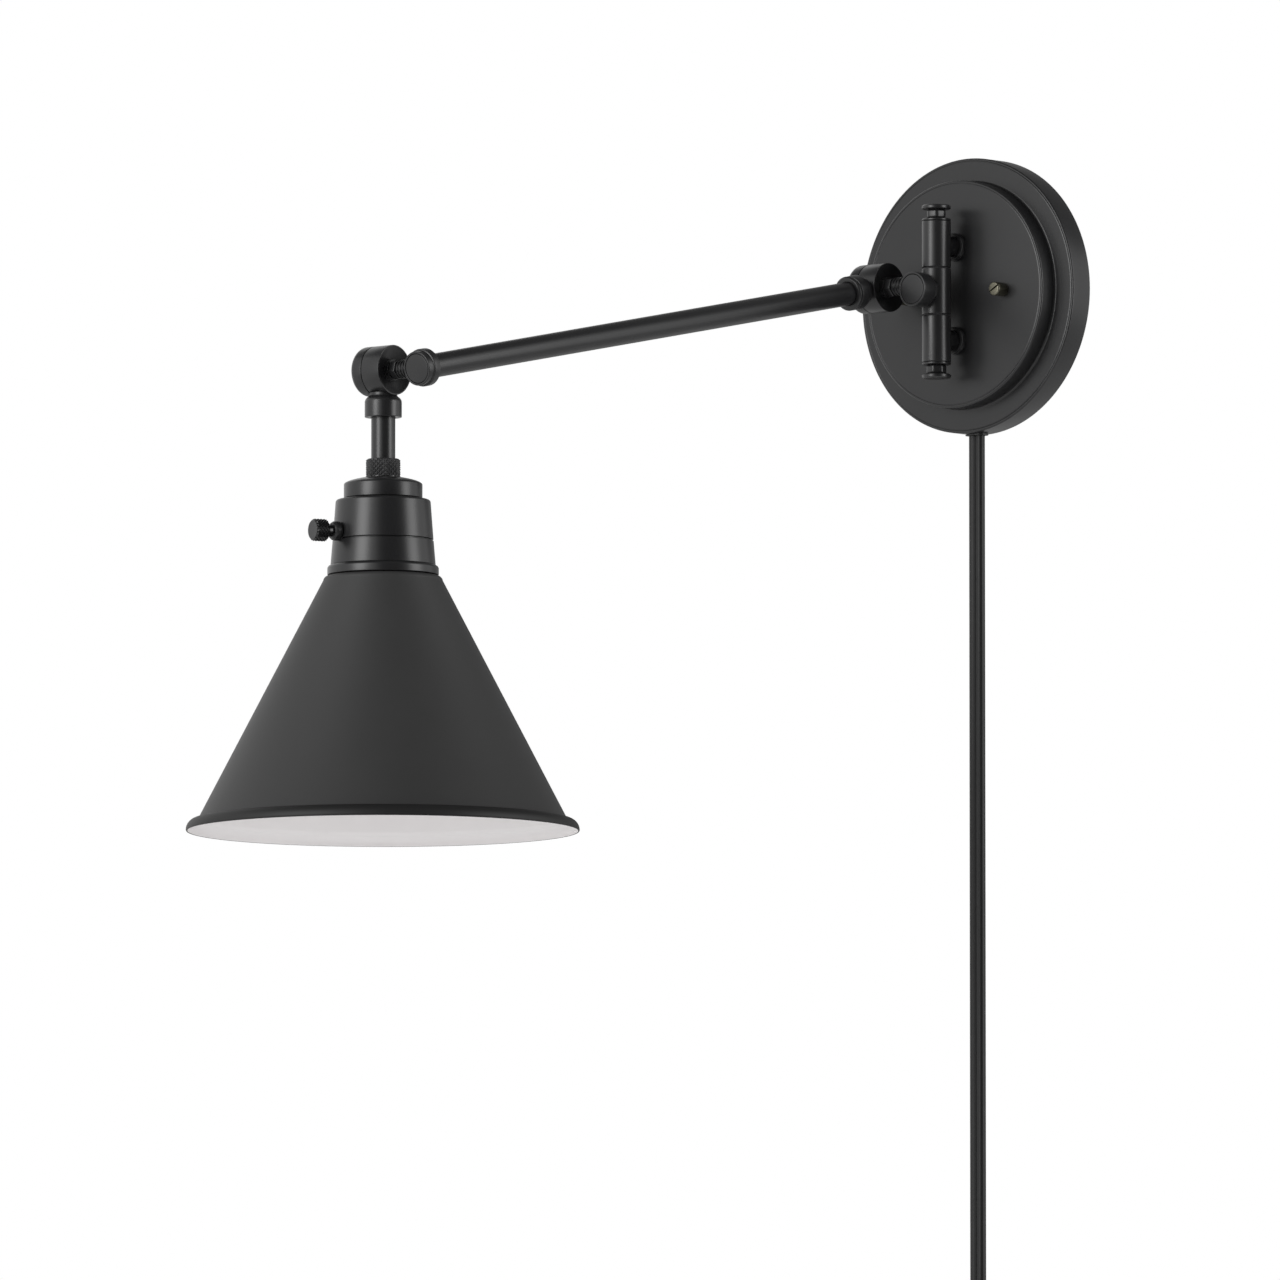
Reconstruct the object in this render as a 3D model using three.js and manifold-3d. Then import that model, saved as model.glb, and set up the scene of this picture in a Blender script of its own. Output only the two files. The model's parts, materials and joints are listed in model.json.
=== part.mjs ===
// Plug-in swing arm wall sconce: a round stepped canopy, a vertical three-barrel hinge, a sloping tubular
// arm with a friction knuckle at each end, and a conical metal shade on a turn-knob lamp holder.
//
// Millimetres. +X runs right along the wall, -Y points out into the room, +Z is up, and the origin is the
// centre of the mounting face on the wall. Every sub-assembly is a nested group whose origin is its own joint.

import * as THREE from "three";
import { mergeVertices } from "three/addons/utils/BufferGeometryUtils.js";
import Module from "manifold-3d";

const wasm = await Module();
wasm.setup();

// ----------------------------------------------------------------------------------------------------
// Driving dimensions
// ----------------------------------------------------------------------------------------------------

const fit = 0.3; // clearance between neighbouring pieces
const thrustGap = 0.1; // running clearance on each side of a thrust washer

const canopy = {
  radius: 76.2, // 6 inch canopy
  rimDepth: 14.8, // out to the face of the lower step
  rimBead: 1.6, // rounding of the front edge of the rim
  tierRadius: 63,
  depth: 26, // out to the bead on the upper step
  tierBead: 2.6, // width of that bead
  recess: 0.8, // the disc inside the bead lies this much lower
  sheet: 1.6,
};
const canopyFace = canopy.depth - canopy.recess;

const crossbar = { overhang: 15.1, width: 18, sheet: 2, hole: 2.5, slot: 12, slotWidth: 5, slotPlace: 18 };
const canopyScrew = {
  spacing: 69.8,
  headRadius: 3.5,
  headLength: 8.3,
  shankRadius: 2,
  slotWidth: 1,
  slotDepth: 1.3,
  slotTilt: 30, // degrees from level
};

const column = { reach: 40.8, radius: 8, barrelLength: 26, bracketHeight: 26, pinRadius: 3 };
const thrustWasher = { sheet: 0.6, radius: 7.3 };
const nipple = { radius: 4.6, bore: 3, bossRadius: 5.6 };
const rosette = { radius: 7.7, thickness: 3 };
const bracketNut = { acrossFlats: 14, thickness: 4 };
const finial = { collar: 2, neck: 4, neckFlats: 9.2, disc: 3, radius: 8, flutes: 14, fluteDepth: 0.45 };

const stub = { radius: 9.5, reach: 21, length: 9.6, rootRadius: 6.6, studRise: 3 };
const endDisc = { thickness: 1.4, margin: 1.2 }; // plain cover let into the end of the stub and of the arm
const studSetback = 8; // from an end face back to the knuckle stud

// The two knuckles share one pattern. Lengths run along the stud from the middle plane of the drum.
const knuckle = {
  offset: 31, // from the axis of the piece that carries the stud to the middle plane of the drum
  radius: 13.5,
  cupFace: 8.2,
  cupDepth: 6.2,
  cupRim: 0.8, // land left round the mouth of the cup
  cupFloorRadius: 6,
  back: -4.1, // rear face of the drum, against the cap
  capEnd: -13,
  capShoulder: 3.6, // rounding of the cap
  spigotLength: 2.2,
  spigotRadius: 10.2,
  cavityRadius: 7.6,
  tenonRadius: 3.4, // of the collar, let into the side of the drum
  tenonDepth: 3.6,
};
const stud = { radius: 3, neckRadius: 4.3, neckEnd: 12.6, threadDepth: 8.5 };
const hexNut = { acrossFlats: 9.8, thickness: 4.2 };
const lockNut = { acrossFlats: 10.6, thickness: 3.6 };
const washerStack = { radius: 5.6, grooveRadius: 4.7 };

const arm = { reach: 374.8, drop: 73.2, tubeRadius: 6.5, tubeWall: 1.2, tubeStart: 19.5 };
const armCollar = { neckRadius: 6.2, start: 17.4, groove: 24.4, end: 27, radius: 9.5 };
const armEnd = { radius: 10.2, noseRadius: 9.3, nose: 3.6, body: 4.4, taper: 6.4, tipRadius: 7.3, socket: 2 };

// The head hangs below the elbow. These are distances down from the elbow axis.
const stemCollar = { neckRadius: 6.2, shoulder: 13.8, end: 25.2, radius: 10, rounding: 3.6 };
const stem = { tubeStart: 17, nippleTop: 54.4, nippleEnd: 77.6, nippleRadius: 4.8 };
const knurledNut = { top: 47.7, end: 57.7, radius: 9.4, flutes: 18, fluteDepth: 0.35, chamfer: 0.7 };
const socketCap = {
  roof: [[10, 0], [13.7, 0.7], [17.4, 1.6], [20.1, 2.7], [21.15, 3.9]], // [radius, drop] of its dome
  end: 68.9,
  radius: 21.15,
  spigotRadius: 18.4,
  spigotLength: 3.2,
};
const housing = { top: 69.2, shoulder: 1.6, topRadius: 25.6, bottomRadius: 27.1, bottom: 91.2, sheet: 1.5 };
const fitter = { top: 91.6, bottomRadius: 28.3, bottom: 105, lip: 3 };
const shadeRing = { radius: 30, bottom: 110.7 };
const shade = {
  top: 110.7,
  holeRadius: 21,
  neckRadius: 32.1,
  neckDrop: 2, // depth of the rounded shoulder
  coneEnd: 242,
  coneSlope: 0.5156,
  lipRadius: 5.8,
  sheet: 1,
};
const holder = {
  bossTop: 71.4,
  bossRadius: 8.4,
  top: 74,
  radius: 18.6,
  skirtTop: 91.6,
  skirtRadius: 17.4,
  bottom: 114,
};
const shell = { innerRadius: 13.2, sheet: 0.6, top: 93.2, bottom: 115.6 }; // E26 screw shell
const contact = { radius: 4, thickness: 1.2 };
const retainer = { radius: 24.4, top: 112.1, thickness: 4.4 };

const lampSwitch = {
  drop: 87.9,
  azimuth: 19.5, // degrees from straight out towards -X
  seat: 27.4, // back of the nut, out from the head axis
  nutRadius: 4.6,
  nutLength: 4.2,
  barrelRadius: 3.2,
  barrelStart: 13.6,
  shaftRadius: 1.6,
  neckRadius: 2.3,
  neckLength: 5,
  knobRadius: 6.1,
  knobLength: 6.3,
  knobFlutes: 14,
  knobFluteDepth: 0.4,
};

const cord = { width: 9.9, thickness: 5.1, fromWall: 6.3, innerEnd: 57.5 };
const bushing = { wall: 1.2, lip: 0.5, lipThickness: 0.5, inside: 3.4 };
const hank = {
  top: 598, // below the origin: the upper end of the straight runs
  run: 100,
  outerFold: 40.8, // from the middle of the hank to its outermost run
  pitch: 5.3,
  runs: 7,
  leadEnd: 12, // the lead stops this far above the straight runs, before its scribed end gets thin
};
const tie = { height: 12, thickness: 1.2, below: 22 };
const plug = { aside: 9.4, width: 26, thickness: 14, body: 24, nose: 14, noseWidth: 12, bevel: 1.5 };
const blade = { spacing: 12.7, thickness: 1.5, narrow: 6.35, wide: 7.9, length: 16.5, root: 6 };
const splice = {
  mouth: 12, // from the middle of the canopy
  length: 19,
  mouthRadius: 5.6,
  tipRadius: 3.8,
  bore: 3.1,
  boreDepth: 8,
  drop: 47.4,
  depth: 10,
};
const conductorRadius = 1.1;

// ----------------------------------------------------------------------------------------------------
// Derived places
// ----------------------------------------------------------------------------------------------------

const armLength = Math.hypot(arm.reach, arm.drop);
const armSlope = Math.atan2(arm.drop, arm.reach);
const barrelHalf = column.barrelLength / 2;
const thrustHalf = thrustGap + thrustWasher.sheet / 2;
const columnTop = barrelHalf * 3;
const studOut = stub.reach - studSetback; // from the hinge axis out to the shoulder stud
const shoulder = [-knuckle.offset, -studOut, stub.studRise];
const cupFloor = knuckle.cupFace - knuckle.cupDepth;
const coneRise = (shade.coneEnd - shade.top - shade.neckDrop) * shade.coneSlope;
const innerFold = hank.outerFold - ((hank.runs - 1) * hank.pitch) / 2;
const hankMiddle = cord.fromWall + hank.outerFold;

// ----------------------------------------------------------------------------------------------------
// Finishes
// ----------------------------------------------------------------------------------------------------

function finish(color, roughness, metalness) {
  return new THREE.MeshStandardMaterial({ color, roughness, metalness });
}

const satinBlack = finish(0x1d1d1f, 0.42, 0.6);
const matteBlack = finish(0x232324, 0.7, 0.2);
const zincSteel = finish(0x9a9c9e, 0.45, 0.9);
const agedBrass = finish(0x8a8468, 0.4, 0.9);
const blackPlastic = finish(0x161616, 0.55, 0);
const cordPvc = finish(0x121212, 0.5, 0);
const nylon = finish(0x3a3a3c, 0.6, 0);
const phenolic = finish(0x1a1614, 0.5, 0);

// ----------------------------------------------------------------------------------------------------
// Shapes
// ----------------------------------------------------------------------------------------------------

// A closed geometry, indexed on position alone, with its faces turned outwards.
function closed(geometry) {
  const bare = geometry.clone();
  for (const name of Object.keys(bare.attributes)) if (name !== "position") bare.deleteAttribute(name);
  const merged = mergeVertices(bare, 1e-4);
  const at = merged.getAttribute("position");
  const corner = [new THREE.Vector3(), new THREE.Vector3(), new THREE.Vector3()];
  const kept = [];
  let volume = 0;
  for (let i = 0; i < merged.index.count; i += 3) {
    const tri = [0, 1, 2].map((k) => merged.index.getX(i + k));
    if (new Set(tri).size < 3) continue; // the collapsed triangles at a pole
    tri.forEach((v, k) => corner[k].fromBufferAttribute(at, v));
    volume += corner[0].dot(corner[1].clone().cross(corner[2]));
    kept.push(tri);
  }
  if (volume < 0) kept.forEach((tri) => tri.reverse());
  merged.setIndex(kept.flat());
  return merged;
}

function toSolid(geometry) {
  const g = closed(geometry);
  const vertProperties = g.getAttribute("position").array;
  const triVerts = new Uint32Array(g.index.array);
  return new wasm.Manifold(new wasm.Mesh({ numProp: 3, vertProperties, triVerts }));
}

function toGeometry(solid) {
  const mesh = solid.getMesh();
  const g = new THREE.BufferGeometry();
  g.setAttribute("position", new THREE.BufferAttribute(new Float32Array(mesh.vertProperties), 3));
  g.setIndex(new THREE.BufferAttribute(new Uint32Array(mesh.triVerts), 1));
  return g;
}

const join = (...parts) => toGeometry(parts.map(toSolid).reduce((a, b) => a.add(b)));
const cut = (body, ...tools) => toGeometry(tools.map(toSolid).reduce((a, b) => a.subtract(b), toSolid(body)));

// How many facets a round of this radius gets.
const facets = (radius) => (radius < 5 ? 12 : radius < 12 ? 16 : radius < 35 ? 22 : 36);

// A solid of revolution about +Z. The profile is a list of [radius, height]: it starts and ends on the axis,
// or it is a loop clear of the axis, which is closed here.
function revolve(profile) {
  const segments = facets(Math.max(...profile.map(([r]) => r)));
  const loop = profile[0][0] > 0 ? [...profile, profile[0]] : profile;
  const points = loop.map(([r, h]) => new THREE.Vector2(r, h));
  return closed(new THREE.LatheGeometry(points, segments).rotateX(Math.PI / 2));
}

// The [radius, height] points of a quarter-round or part of one, between two angles in degrees.
function arc(radius, height, size, from, to, steps) {
  return Array.from({ length: steps + 1 }, (_, i) => {
    const a = THREE.MathUtils.degToRad(from + ((to - from) * i) / steps);
    return [radius + size * Math.cos(a), height + size * Math.sin(a)];
  });
}

// A rod or a tube along +Z from one height to another.
const rod = (radius, from, to) => revolve([[0, from], [radius, from], [radius, to], [0, to]]);
const tube = (bore, radius, from, to) => revolve([[bore, from], [radius, from], [radius, to], [bore, to]]);

// A prism along +Z on a closed outline of [x, y] points, with an optional outline for a hole.
function prism(outline, from, to, hole = null) {
  const shape = new THREE.Shape(outline.map(([x, y]) => new THREE.Vector2(x, y)));
  if (hole) shape.holes.push(new THREE.Path(hole.map(([x, y]) => new THREE.Vector2(x, y))));
  const block = new THREE.ExtrudeGeometry(shape, { depth: to - from, bevelEnabled: false });
  return closed(block.translate(0, 0, from));
}

const polygon = (sides, radiusAt) =>
  Array.from({ length: sides }, (_, i) => {
    const a = (i / sides) * 2 * Math.PI;
    return [radiusAt(i) * Math.cos(a), radiusAt(i) * Math.sin(a)];
  });
const hexagon = (acrossFlats) => polygon(6, () => acrossFlats / Math.sqrt(3));
const knurled = (radius, flutes, depth) => polygon(flutes * 2, (i) => (i % 2 ? radius - depth : radius));
// A knurled disc or nut with a plain bevel at each end.
function gripped(radius, flutes, depth, from, to, bevel) {
  const root = radius - depth;
  const core = revolve(
    [
      [0, from],
      [root - bevel, from],
      [root, from + bevel],
      [root, to - bevel],
      [root - bevel, to],
      [0, to],
    ],
  );
  return join(prism(knurled(radius, flutes, depth), from + bevel, to - bevel), core);
}
const bored = (body, bore, from, to) => cut(body, rod(bore, from - 1, to + 1));

// A slot or flat cable section: a rectangle with round ends, wide along x.
function stadium(width, thickness, steps = 6) {
  const r = thickness / 2;
  const straight = width / 2 - r;
  return [...arc(straight, 0, r, -90, 90, steps), ...arc(-straight, 0, r, 90, 270, steps)];
}

// A rectangle with rounded corners.
const roundedBox = (width, thickness, radius) =>
  [[1, 1], [-1, 1], [-1, -1], [1, -1]].flatMap(([x, y], i) =>
    arc(x * (width / 2 - radius), y * (thickness / 2 - radius), radius, i * 90, i * 90 + 90, 3),
  );

// Turns +Z onto a direction and moves the origin to a point.
function aimed(geometry, direction, at = [0, 0, 0]) {
  const turn = new THREE.Quaternion().setFromUnitVectors(
    new THREE.Vector3(0, 0, 1),
    new THREE.Vector3(...direction).normalize(),
  );
  return geometry.clone().applyQuaternion(turn).translate(...at);
}

const out = (geometry, at) => aimed(geometry, [0, -1, 0], at);
const inward = (geometry, at) => aimed(geometry, [0, 1, 0], at);
const sideways = (geometry, at) => aimed(geometry, [1, 0, 0], at);
const down = (geometry, at) => aimed(geometry, [0, 0, -1], at);

// A round wire through points.
function wire(radius, points, steps) {
  const path = new THREE.CatmullRomCurve3(points.map((p) => new THREE.Vector3(...p)));
  const section = new THREE.Shape(polygon(6, () => radius).map(([x, y]) => new THREE.Vector2(x, y)));
  return closed(new THREE.ExtrudeGeometry(section, { steps, extrudePath: path, bevelEnabled: false }));
}

function piece(group, name, geometry, material) {
  const mesh = new THREE.Mesh(geometry, material);
  mesh.name = name;
  group.add(mesh);
}

function group(parent, at = [0, 0, 0]) {
  const g = new THREE.Group();
  g.position.set(...at);
  if (parent) parent.add(g);
  return g;
}

// ----------------------------------------------------------------------------------------------------
// Wall mount: canopy, crossbar and their fasteners
// ----------------------------------------------------------------------------------------------------

// Two-step pressed canopy, open to the wall.
function canopyShell() {
  const { radius, rimDepth, rimBead, tierRadius, depth, tierBead, sheet } = canopy;
  const step = rimDepth - 0.4; // the lower step lies a little behind its bead
  const tierInside = tierRadius - sheet;
  const dish = revolve(
    [
      [0, canopyFace],
      [tierRadius - tierBead - 0.6, canopyFace],
      [tierRadius - tierBead, depth],
      ...arc(tierRadius - 1.2, depth - 1.2, 1.2, 90, 0, 2),
      [tierRadius, step],
      [radius - rimBead - 1.4, step],
      [radius - rimBead - 0.9, rimDepth],
      ...arc(radius - rimBead, rimDepth - rimBead, rimBead, 90, 0, 3),
      [radius, 0],
      [radius - sheet, 0],
      [radius - sheet, step - sheet],
      [tierInside, step - sheet],
      [tierInside, canopyFace - sheet],
      [0, canopyFace - sheet],
    ],
  );
  const nippleHole = rod(nipple.radius + fit, canopyFace - 4, depth + 2);
  const screwHole = rod(canopyScrew.shankRadius + fit, canopyFace - 4, depth + 2);
  const cordSlot = prism(
    stadium(bushingSize.body[0] + 2 * fit, bushingSize.body[1] + 2 * fit),
    radius - sheet * 2,
    radius + 2,
  );
  return cut(
    out(dish),
    out(nippleHole, [0, 0, column.bracketHeight]),
    out(nippleHole, [0, 0, -column.bracketHeight]),
    out(screwHole, [canopyScrew.spacing / 2, 0, 0]),
    out(screwHole, [-canopyScrew.spacing / 2, 0, 0]),
    down(cordSlot, [0, -cord.fromWall, 0]),
  );
}

// Slotted brass screw with a tall cylindrical head, from the canopy face into the crossbar.
function canopyScrewBody() {
  const { headRadius, headLength, shankRadius, slotWidth, slotDepth } = canopyScrew;
  const tip = canopyFace + headLength;
  const body = revolve(
    [
      [0, crossbar.sheet / 4],
      [shankRadius, crossbar.sheet / 4],
      [shankRadius, canopyFace],
      [headRadius, canopyFace],
      [headRadius, tip - 0.5],
      [headRadius - 0.5, tip],
      [0, tip],
    ],
  );
  const slot = new THREE.BoxGeometry(headRadius * 3, slotWidth, slotDepth * 2).translate(0, 0, tip);
  return out(cut(body, slot.rotateZ(THREE.MathUtils.degToRad(canopyScrew.slotTilt))));
}

function crossbarPlate() {
  const { overhang, width, sheet, hole } = crossbar;
  const plate = prism(stadium(canopyScrew.spacing + 2 * overhang, width, 4), 0, sheet);
  const tapped = rod(hole, -1, sheet + 1);
  const slot = prism(stadium(crossbar.slot, crossbar.slotWidth, 3), -1, sheet + 1);
  const at = (geometry, x) => geometry.clone().translate(x, 0, 0);
  const holes = [-1, 1].map((side) => at(tapped, (side * canopyScrew.spacing) / 2));
  const slots = [-1, 1].map((side) => at(slot, side * crossbar.slotPlace));
  return out(cut(plate, ...holes, ...slots));
}

// Ring between the canopy face and the bracket boss.
function rosetteRing() {
  const { radius, thickness } = rosette;
  return revolve(
    [
      [nipple.radius + fit, 0],
      [radius, 0],
      ...arc(radius - 1, thickness - 1, 1, 0, 90, 2),
      [nipple.radius + fit, thickness],
    ],
  );
}

// Fixed barrel of the hinge with its boss and the hollow threaded nipple that goes through the canopy.
function bracket(side) {
  const { radius, pinRadius, bracketHeight } = column;
  const height = side * bracketHeight;
  const seat = column.reach - canopyFace - rosette.thickness; // from the hinge axis to the end of the boss
  const tail = column.reach - canopyFace + canopy.sheet + bracketNut.thickness + 1;
  const [low, high] = [barrelHalf + thrustHalf, columnTop].map((z) => side * z).sort((a, b) => a - b);
  const barrel = rod(radius, low, high);
  const boss = revolve(
    [
      [0, 0],
      [nipple.bossRadius, 0],
      [nipple.bossRadius, seat],
      [nipple.radius, seat],
      [nipple.radius, tail],
      [0, tail],
    ],
  );
  const bore = rod(nipple.bore, seat, tail + 1);
  const pinBore = rod(pinRadius + fit, low - 1, high + 1);
  return cut(join(barrel, inward(boss, [0, 0, height])), pinBore, inward(bore, [0, 0, height]));
}

// Turned spool on each end of the hinge pin: collar, hexagonal neck and fluted disc.
function finialBody() {
  const { collar, neck, neckFlats, disc, radius, flutes, fluteDepth } = finial;
  const top = collar + neck + disc;
  const grip = gripped(radius, flutes, fluteDepth, collar + neck, top, 0.6);
  const hexNeck = prism(hexagon(neckFlats), collar - 0.5, collar + neck + 0.5);
  const body = join(rod(radius, 0, collar), hexNeck, grip);
  return cut(body, rod(column.pinRadius + fit, -1, collar + neck - 0.5));
}

// Oval grommet that the cord leaves the rim through.
function cordBushing() {
  const { radius, sheet } = canopy;
  const inner = radius - sheet - bushing.inside;
  const body = prism(stadium(...bushingSize.body), inner, radius + fit + bushing.lipThickness / 2);
  const lip = prism(stadium(...bushingSize.lip), radius + fit, radius + fit + bushing.lipThickness);
  const passage = prism(stadium(cord.width + 2 * fit, cord.thickness + 2 * fit), radius - 20, radius + 20);
  return down(cut(join(body, lip), passage), [0, -cord.fromWall, 0]);
}

// Twist-on connector, mouth towards the middle of the canopy.
function spliceCap(side) {
  const { mouth, length, mouthRadius, tipRadius, bore, boreDepth, drop, depth } = splice;
  const cap = revolve(
    [
      [0, boreDepth],
      [bore, boreDepth],
      [bore, 0],
      [mouthRadius, 0],
      [mouthRadius, 3],
      [tipRadius + 0.6, length - 4],
      [tipRadius - 1, length],
      [0, length],
    ],
  );
  return aimed(cap, [side, 0, 0], [side * mouth, -depth, -drop]);
}

// One cord core and one lamp lead, twisted together inside their connector.
function conductor(side) {
  const { mouth, drop, depth } = splice;
  const nippleEnd = canopyFace - canopy.sheet - bracketNut.thickness - 1;
  const joint = [side * (mouth + 4), -depth, -drop];
  const core = [
    [side * 2.1, -cord.fromWall, fit - cord.innerEnd],
    [side * 3.4, -cord.fromWall - 0.6, -cord.innerEnd + 5],
    [side * 8, -depth, -drop - 1.4],
    joint,
  ];
  const lead = [
    joint,
    [side * 8, -depth, -drop + 2.6],
    [side * 2.6, -depth - 0.5, -drop + 10],
    [side * 1.4, -depth - 1, -column.bracketHeight - 4.5],
    [side * 1.3, -depth - 4, -column.bracketHeight - 0.4],
    [side * 1.3, -nippleEnd - 0.8, -column.bracketHeight],
  ];
  return join(wire(conductorRadius, core, 5), wire(conductorRadius, lead, 8));
}

const bushingSize = {
  body: [cord.width, cord.thickness].map((size) => size + 2 * (fit + bushing.wall)),
  lip: [cord.width, cord.thickness].map((size) => size + 2 * (fit + bushing.wall + bushing.lip)),
};

function buildWallMount(root) {
  const mount = group(root);
  piece(mount, "canopy", canopyShell(), satinBlack);
  piece(mount, "crossbar", crossbarPlate(), zincSteel);
  for (const [name, side] of [["left", -1], ["right", 1]]) {
    const place = (side * canopyScrew.spacing) / 2;
    piece(mount, `canopy_screw_${name}`, canopyScrewBody().translate(place, 0, 0), agedBrass);
  }
  const nutSeat = canopyFace - canopy.sheet - bracketNut.thickness;
  for (const [name, side] of [["upper", 1], ["lower", -1]]) {
    const height = side * column.bracketHeight;
    const block = prism(hexagon(bracketNut.acrossFlats), 0, bracketNut.thickness);
    const nut = bored(block, nipple.radius + fit, 0, bracketNut.thickness);
    const half = thrustWasher.sheet / 2;
    const washer = tube(column.pinRadius + fit, thrustWasher.radius, -half, half);
    const end = [0, -column.reach, side * columnTop];
    piece(mount, `${name}_bracket`, bracket(side).translate(0, -column.reach, 0), satinBlack);
    piece(mount, `${name}_rosette`, out(rosetteRing(), [0, -canopyFace, height]), satinBlack);
    piece(mount, `${name}_bracket_nut`, out(nut, [0, -nutSeat, height]), zincSteel);
    piece(mount, `${name}_thrust_washer`, washer.translate(0, -column.reach, side * barrelHalf), nylon);
    piece(mount, `${name}_finial`, aimed(finialBody(), [0, 0, side], end), satinBlack);
  }
  const pinHalf = columnTop + finial.collar + finial.neck - 1;
  const pin = rod(column.pinRadius, -pinHalf, pinHalf);
  piece(mount, "hinge_pin", pin.translate(0, -column.reach, 0), zincSteel);
  piece(mount, "cord_bushing", cordBushing(), blackPlastic);
  for (const [name, side] of [["live", -1], ["neutral", 1]]) {
    piece(mount, `splice_cap_${name}`, spliceCap(side), blackPlastic);
    piece(mount, `conductor_${name}`, conductor(side), cordPvc);
  }
  buildCord(mount);
}

// ----------------------------------------------------------------------------------------------------
// Power cord, hank and plug
// ----------------------------------------------------------------------------------------------------

// The cord hangs straight from the rim and its spare length is folded into an upright racetrack hank in the
// plane square to the wall. Points of the hank are [distance from the wall, height].
function buildCord(mount) {
  const { outerFold, pitch, run } = hank;
  const half = cord.thickness / 2;
  const top = -hank.top;
  const bottom = top - run;
  const outline = stadium(cord.width, cord.thickness, 3);
  const section = new THREE.Shape(outline.map(([x, y]) => new THREE.Vector2(x, y)));
  const rimOut = outerFold + half;
  // The lead runs on until it meets the first run of the hank and is scribed to it.
  const dropLength = -top - hank.leadEnd - cord.innerEnd;
  const hanging = new THREE.ExtrudeGeometry(section, { depth: dropLength, steps: 14, bevelEnabled: false });
  const lead = down(closed(hanging), [0, -cord.fromWall, -cord.innerEnd]);
  const scribe = rod(rimOut + fit, -cord.width, cord.width);
  piece(mount, "cord_lead", cut(lead, sideways(scribe, [0, -hankMiddle, top])), cordPvc);

  const rimIn = innerFold + pitch / 2 - half - fit;
  const loop = (r) => [
    ...arc(hankMiddle, bottom, r, 180, 360, 10),
    ...arc(hankMiddle, top, r, 0, 180, 10),
  ];
  const clearHole = [
    ...arc(hankMiddle, bottom, rimIn, 180, 360, 10),
    ...arc(hankMiddle, top, rimIn, 0, 180, 10),
  ];
  // A shelf on the wall side leaves room for the last run, which comes away to the plug.
  const lastRun = hankMiddle - innerFold;
  const shelf = new THREE.BoxGeometry(half * 2 + 1.2, run + 1, cord.width + 2);
  shelf.translate(lastRun, (top + bottom) / 2 - 0.5, 0);
  const flat = prism(loop(rimOut), -cord.width / 2, cord.width / 2, clearHole);
  const upright = new THREE.Matrix4().makeBasis(
    new THREE.Vector3(0, -1, 0),
    new THREE.Vector3(0, 0, 1),
    new THREE.Vector3(-1, 0, 0),
  );
  piece(mount, "cord_hank", cut(flat, shelf).applyMatrix4(upright), cordPvc);

  const plugTop = bottom - rimIn + 2 + blade.length + plug.body + plug.nose;
  const tailPath = new THREE.CatmullRomCurve3(
    [
      [lastRun, top - fit],
      [lastRun, top - 14],
      [lastRun + 5, top - 28],
      [hankMiddle - plug.aside - 2, plugTop + 14],
      [hankMiddle - plug.aside, plugTop + 0.8],
    ].map(([y, z]) => new THREE.Vector3(0, -y, z)),
  );
  const tail = new THREE.ExtrudeGeometry(section, { steps: 9, extrudePath: tailPath, bevelEnabled: false });
  piece(mount, "cord_tail", closed(tail), cordPvc);

  const bandHole = [2 * (rimOut + fit), cord.width + 2 * fit];
  const band = prism(
    roundedBox(...bandHole.map((size) => size + 2 * tie.thickness), tie.thickness + 0.2),
    0,
    tie.height,
    roundedBox(...bandHole, 0.2).reverse(),
  );
  band.rotateZ(Math.PI / 2).translate(0, -hankMiddle, top - tie.below - tie.height);
  piece(mount, "cord_tie", band, nylon);
  buildPlug(mount, [0, plug.aside - hankMiddle, plugTop]);
}

function buildPlug(mount, at) {
  const { width, thickness, body, nose, noseWidth, bevel } = plug;
  const [w, n] = [width / 2 - bevel, noseWidth / 2 - bevel];
  const bottom = bevel - body - nose;
  const outline = [[-n, -bevel], [-w, -nose], [-w, bottom], [w, bottom], [w, -nose], [n, -bevel]];
  const shape = new THREE.Shape(outline.map(([x, y]) => new THREE.Vector2(x, y)));
  const block = new THREE.ExtrudeGeometry(shape, {
    depth: thickness - 2 * bevel,
    bevelThickness: bevel,
    bevelSize: bevel,
    bevelSegments: 2,
  });
  block.translate(0, 0, bevel - thickness / 2).rotateX(Math.PI / 2);
  const face = -nose - body;
  const slots = [];
  for (const [name, side, width] of [["wide", -1, blade.wide], ["narrow", 1, blade.narrow]]) {
    const tall = blade.length + blade.root;
    const prong = new THREE.BoxGeometry(blade.thickness, width, tall);
    prong.translate((side * blade.spacing) / 2, 0, face + blade.root - tall / 2);
    const room = new THREE.BoxGeometry(blade.thickness + 2 * fit, width + 2 * fit, tall + 2 * fit);
    slots.push(room.translate((side * blade.spacing) / 2, 0, face + blade.root - tall / 2));
    const eye = rod(1.5, -5, 5).rotateY(Math.PI / 2);
    eye.translate((side * blade.spacing) / 2, 0, face - blade.length + 4);
    piece(mount, `plug_blade_${name}`, cut(prong, eye).translate(...at), agedBrass);
  }
  piece(mount, "plug_body", cut(block, ...slots).translate(...at), blackPlastic);
}

// ----------------------------------------------------------------------------------------------------
// Knuckles
// ----------------------------------------------------------------------------------------------------

// Friction drum with its axis on +X: a conical cup for the stud in front, a spigot for the cap behind, and a
// side socket, towards `side`, for the collar of the piece that it turns.
function drumBody(side) {
  const k = knuckle;
  const bore = stud.radius + fit;
  const body = revolve(
    [
      [bore, cupFloor],
      [k.cupFloorRadius, cupFloor],
      [k.radius - k.cupRim, k.cupFace],
      [k.radius, k.cupFace],
      [k.radius, k.back],
      [k.spigotRadius, k.back],
      [k.spigotRadius, k.back - k.spigotLength],
      [k.cavityRadius, k.back - k.spigotLength],
      [k.cavityRadius, k.back],
      [bore, k.back],
    ],
  );
  const socket = rod(k.tenonRadius + fit, k.radius - k.tenonDepth - fit, k.radius + 2);
  return cut(sideways(body), aimed(socket, side));
}

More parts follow.
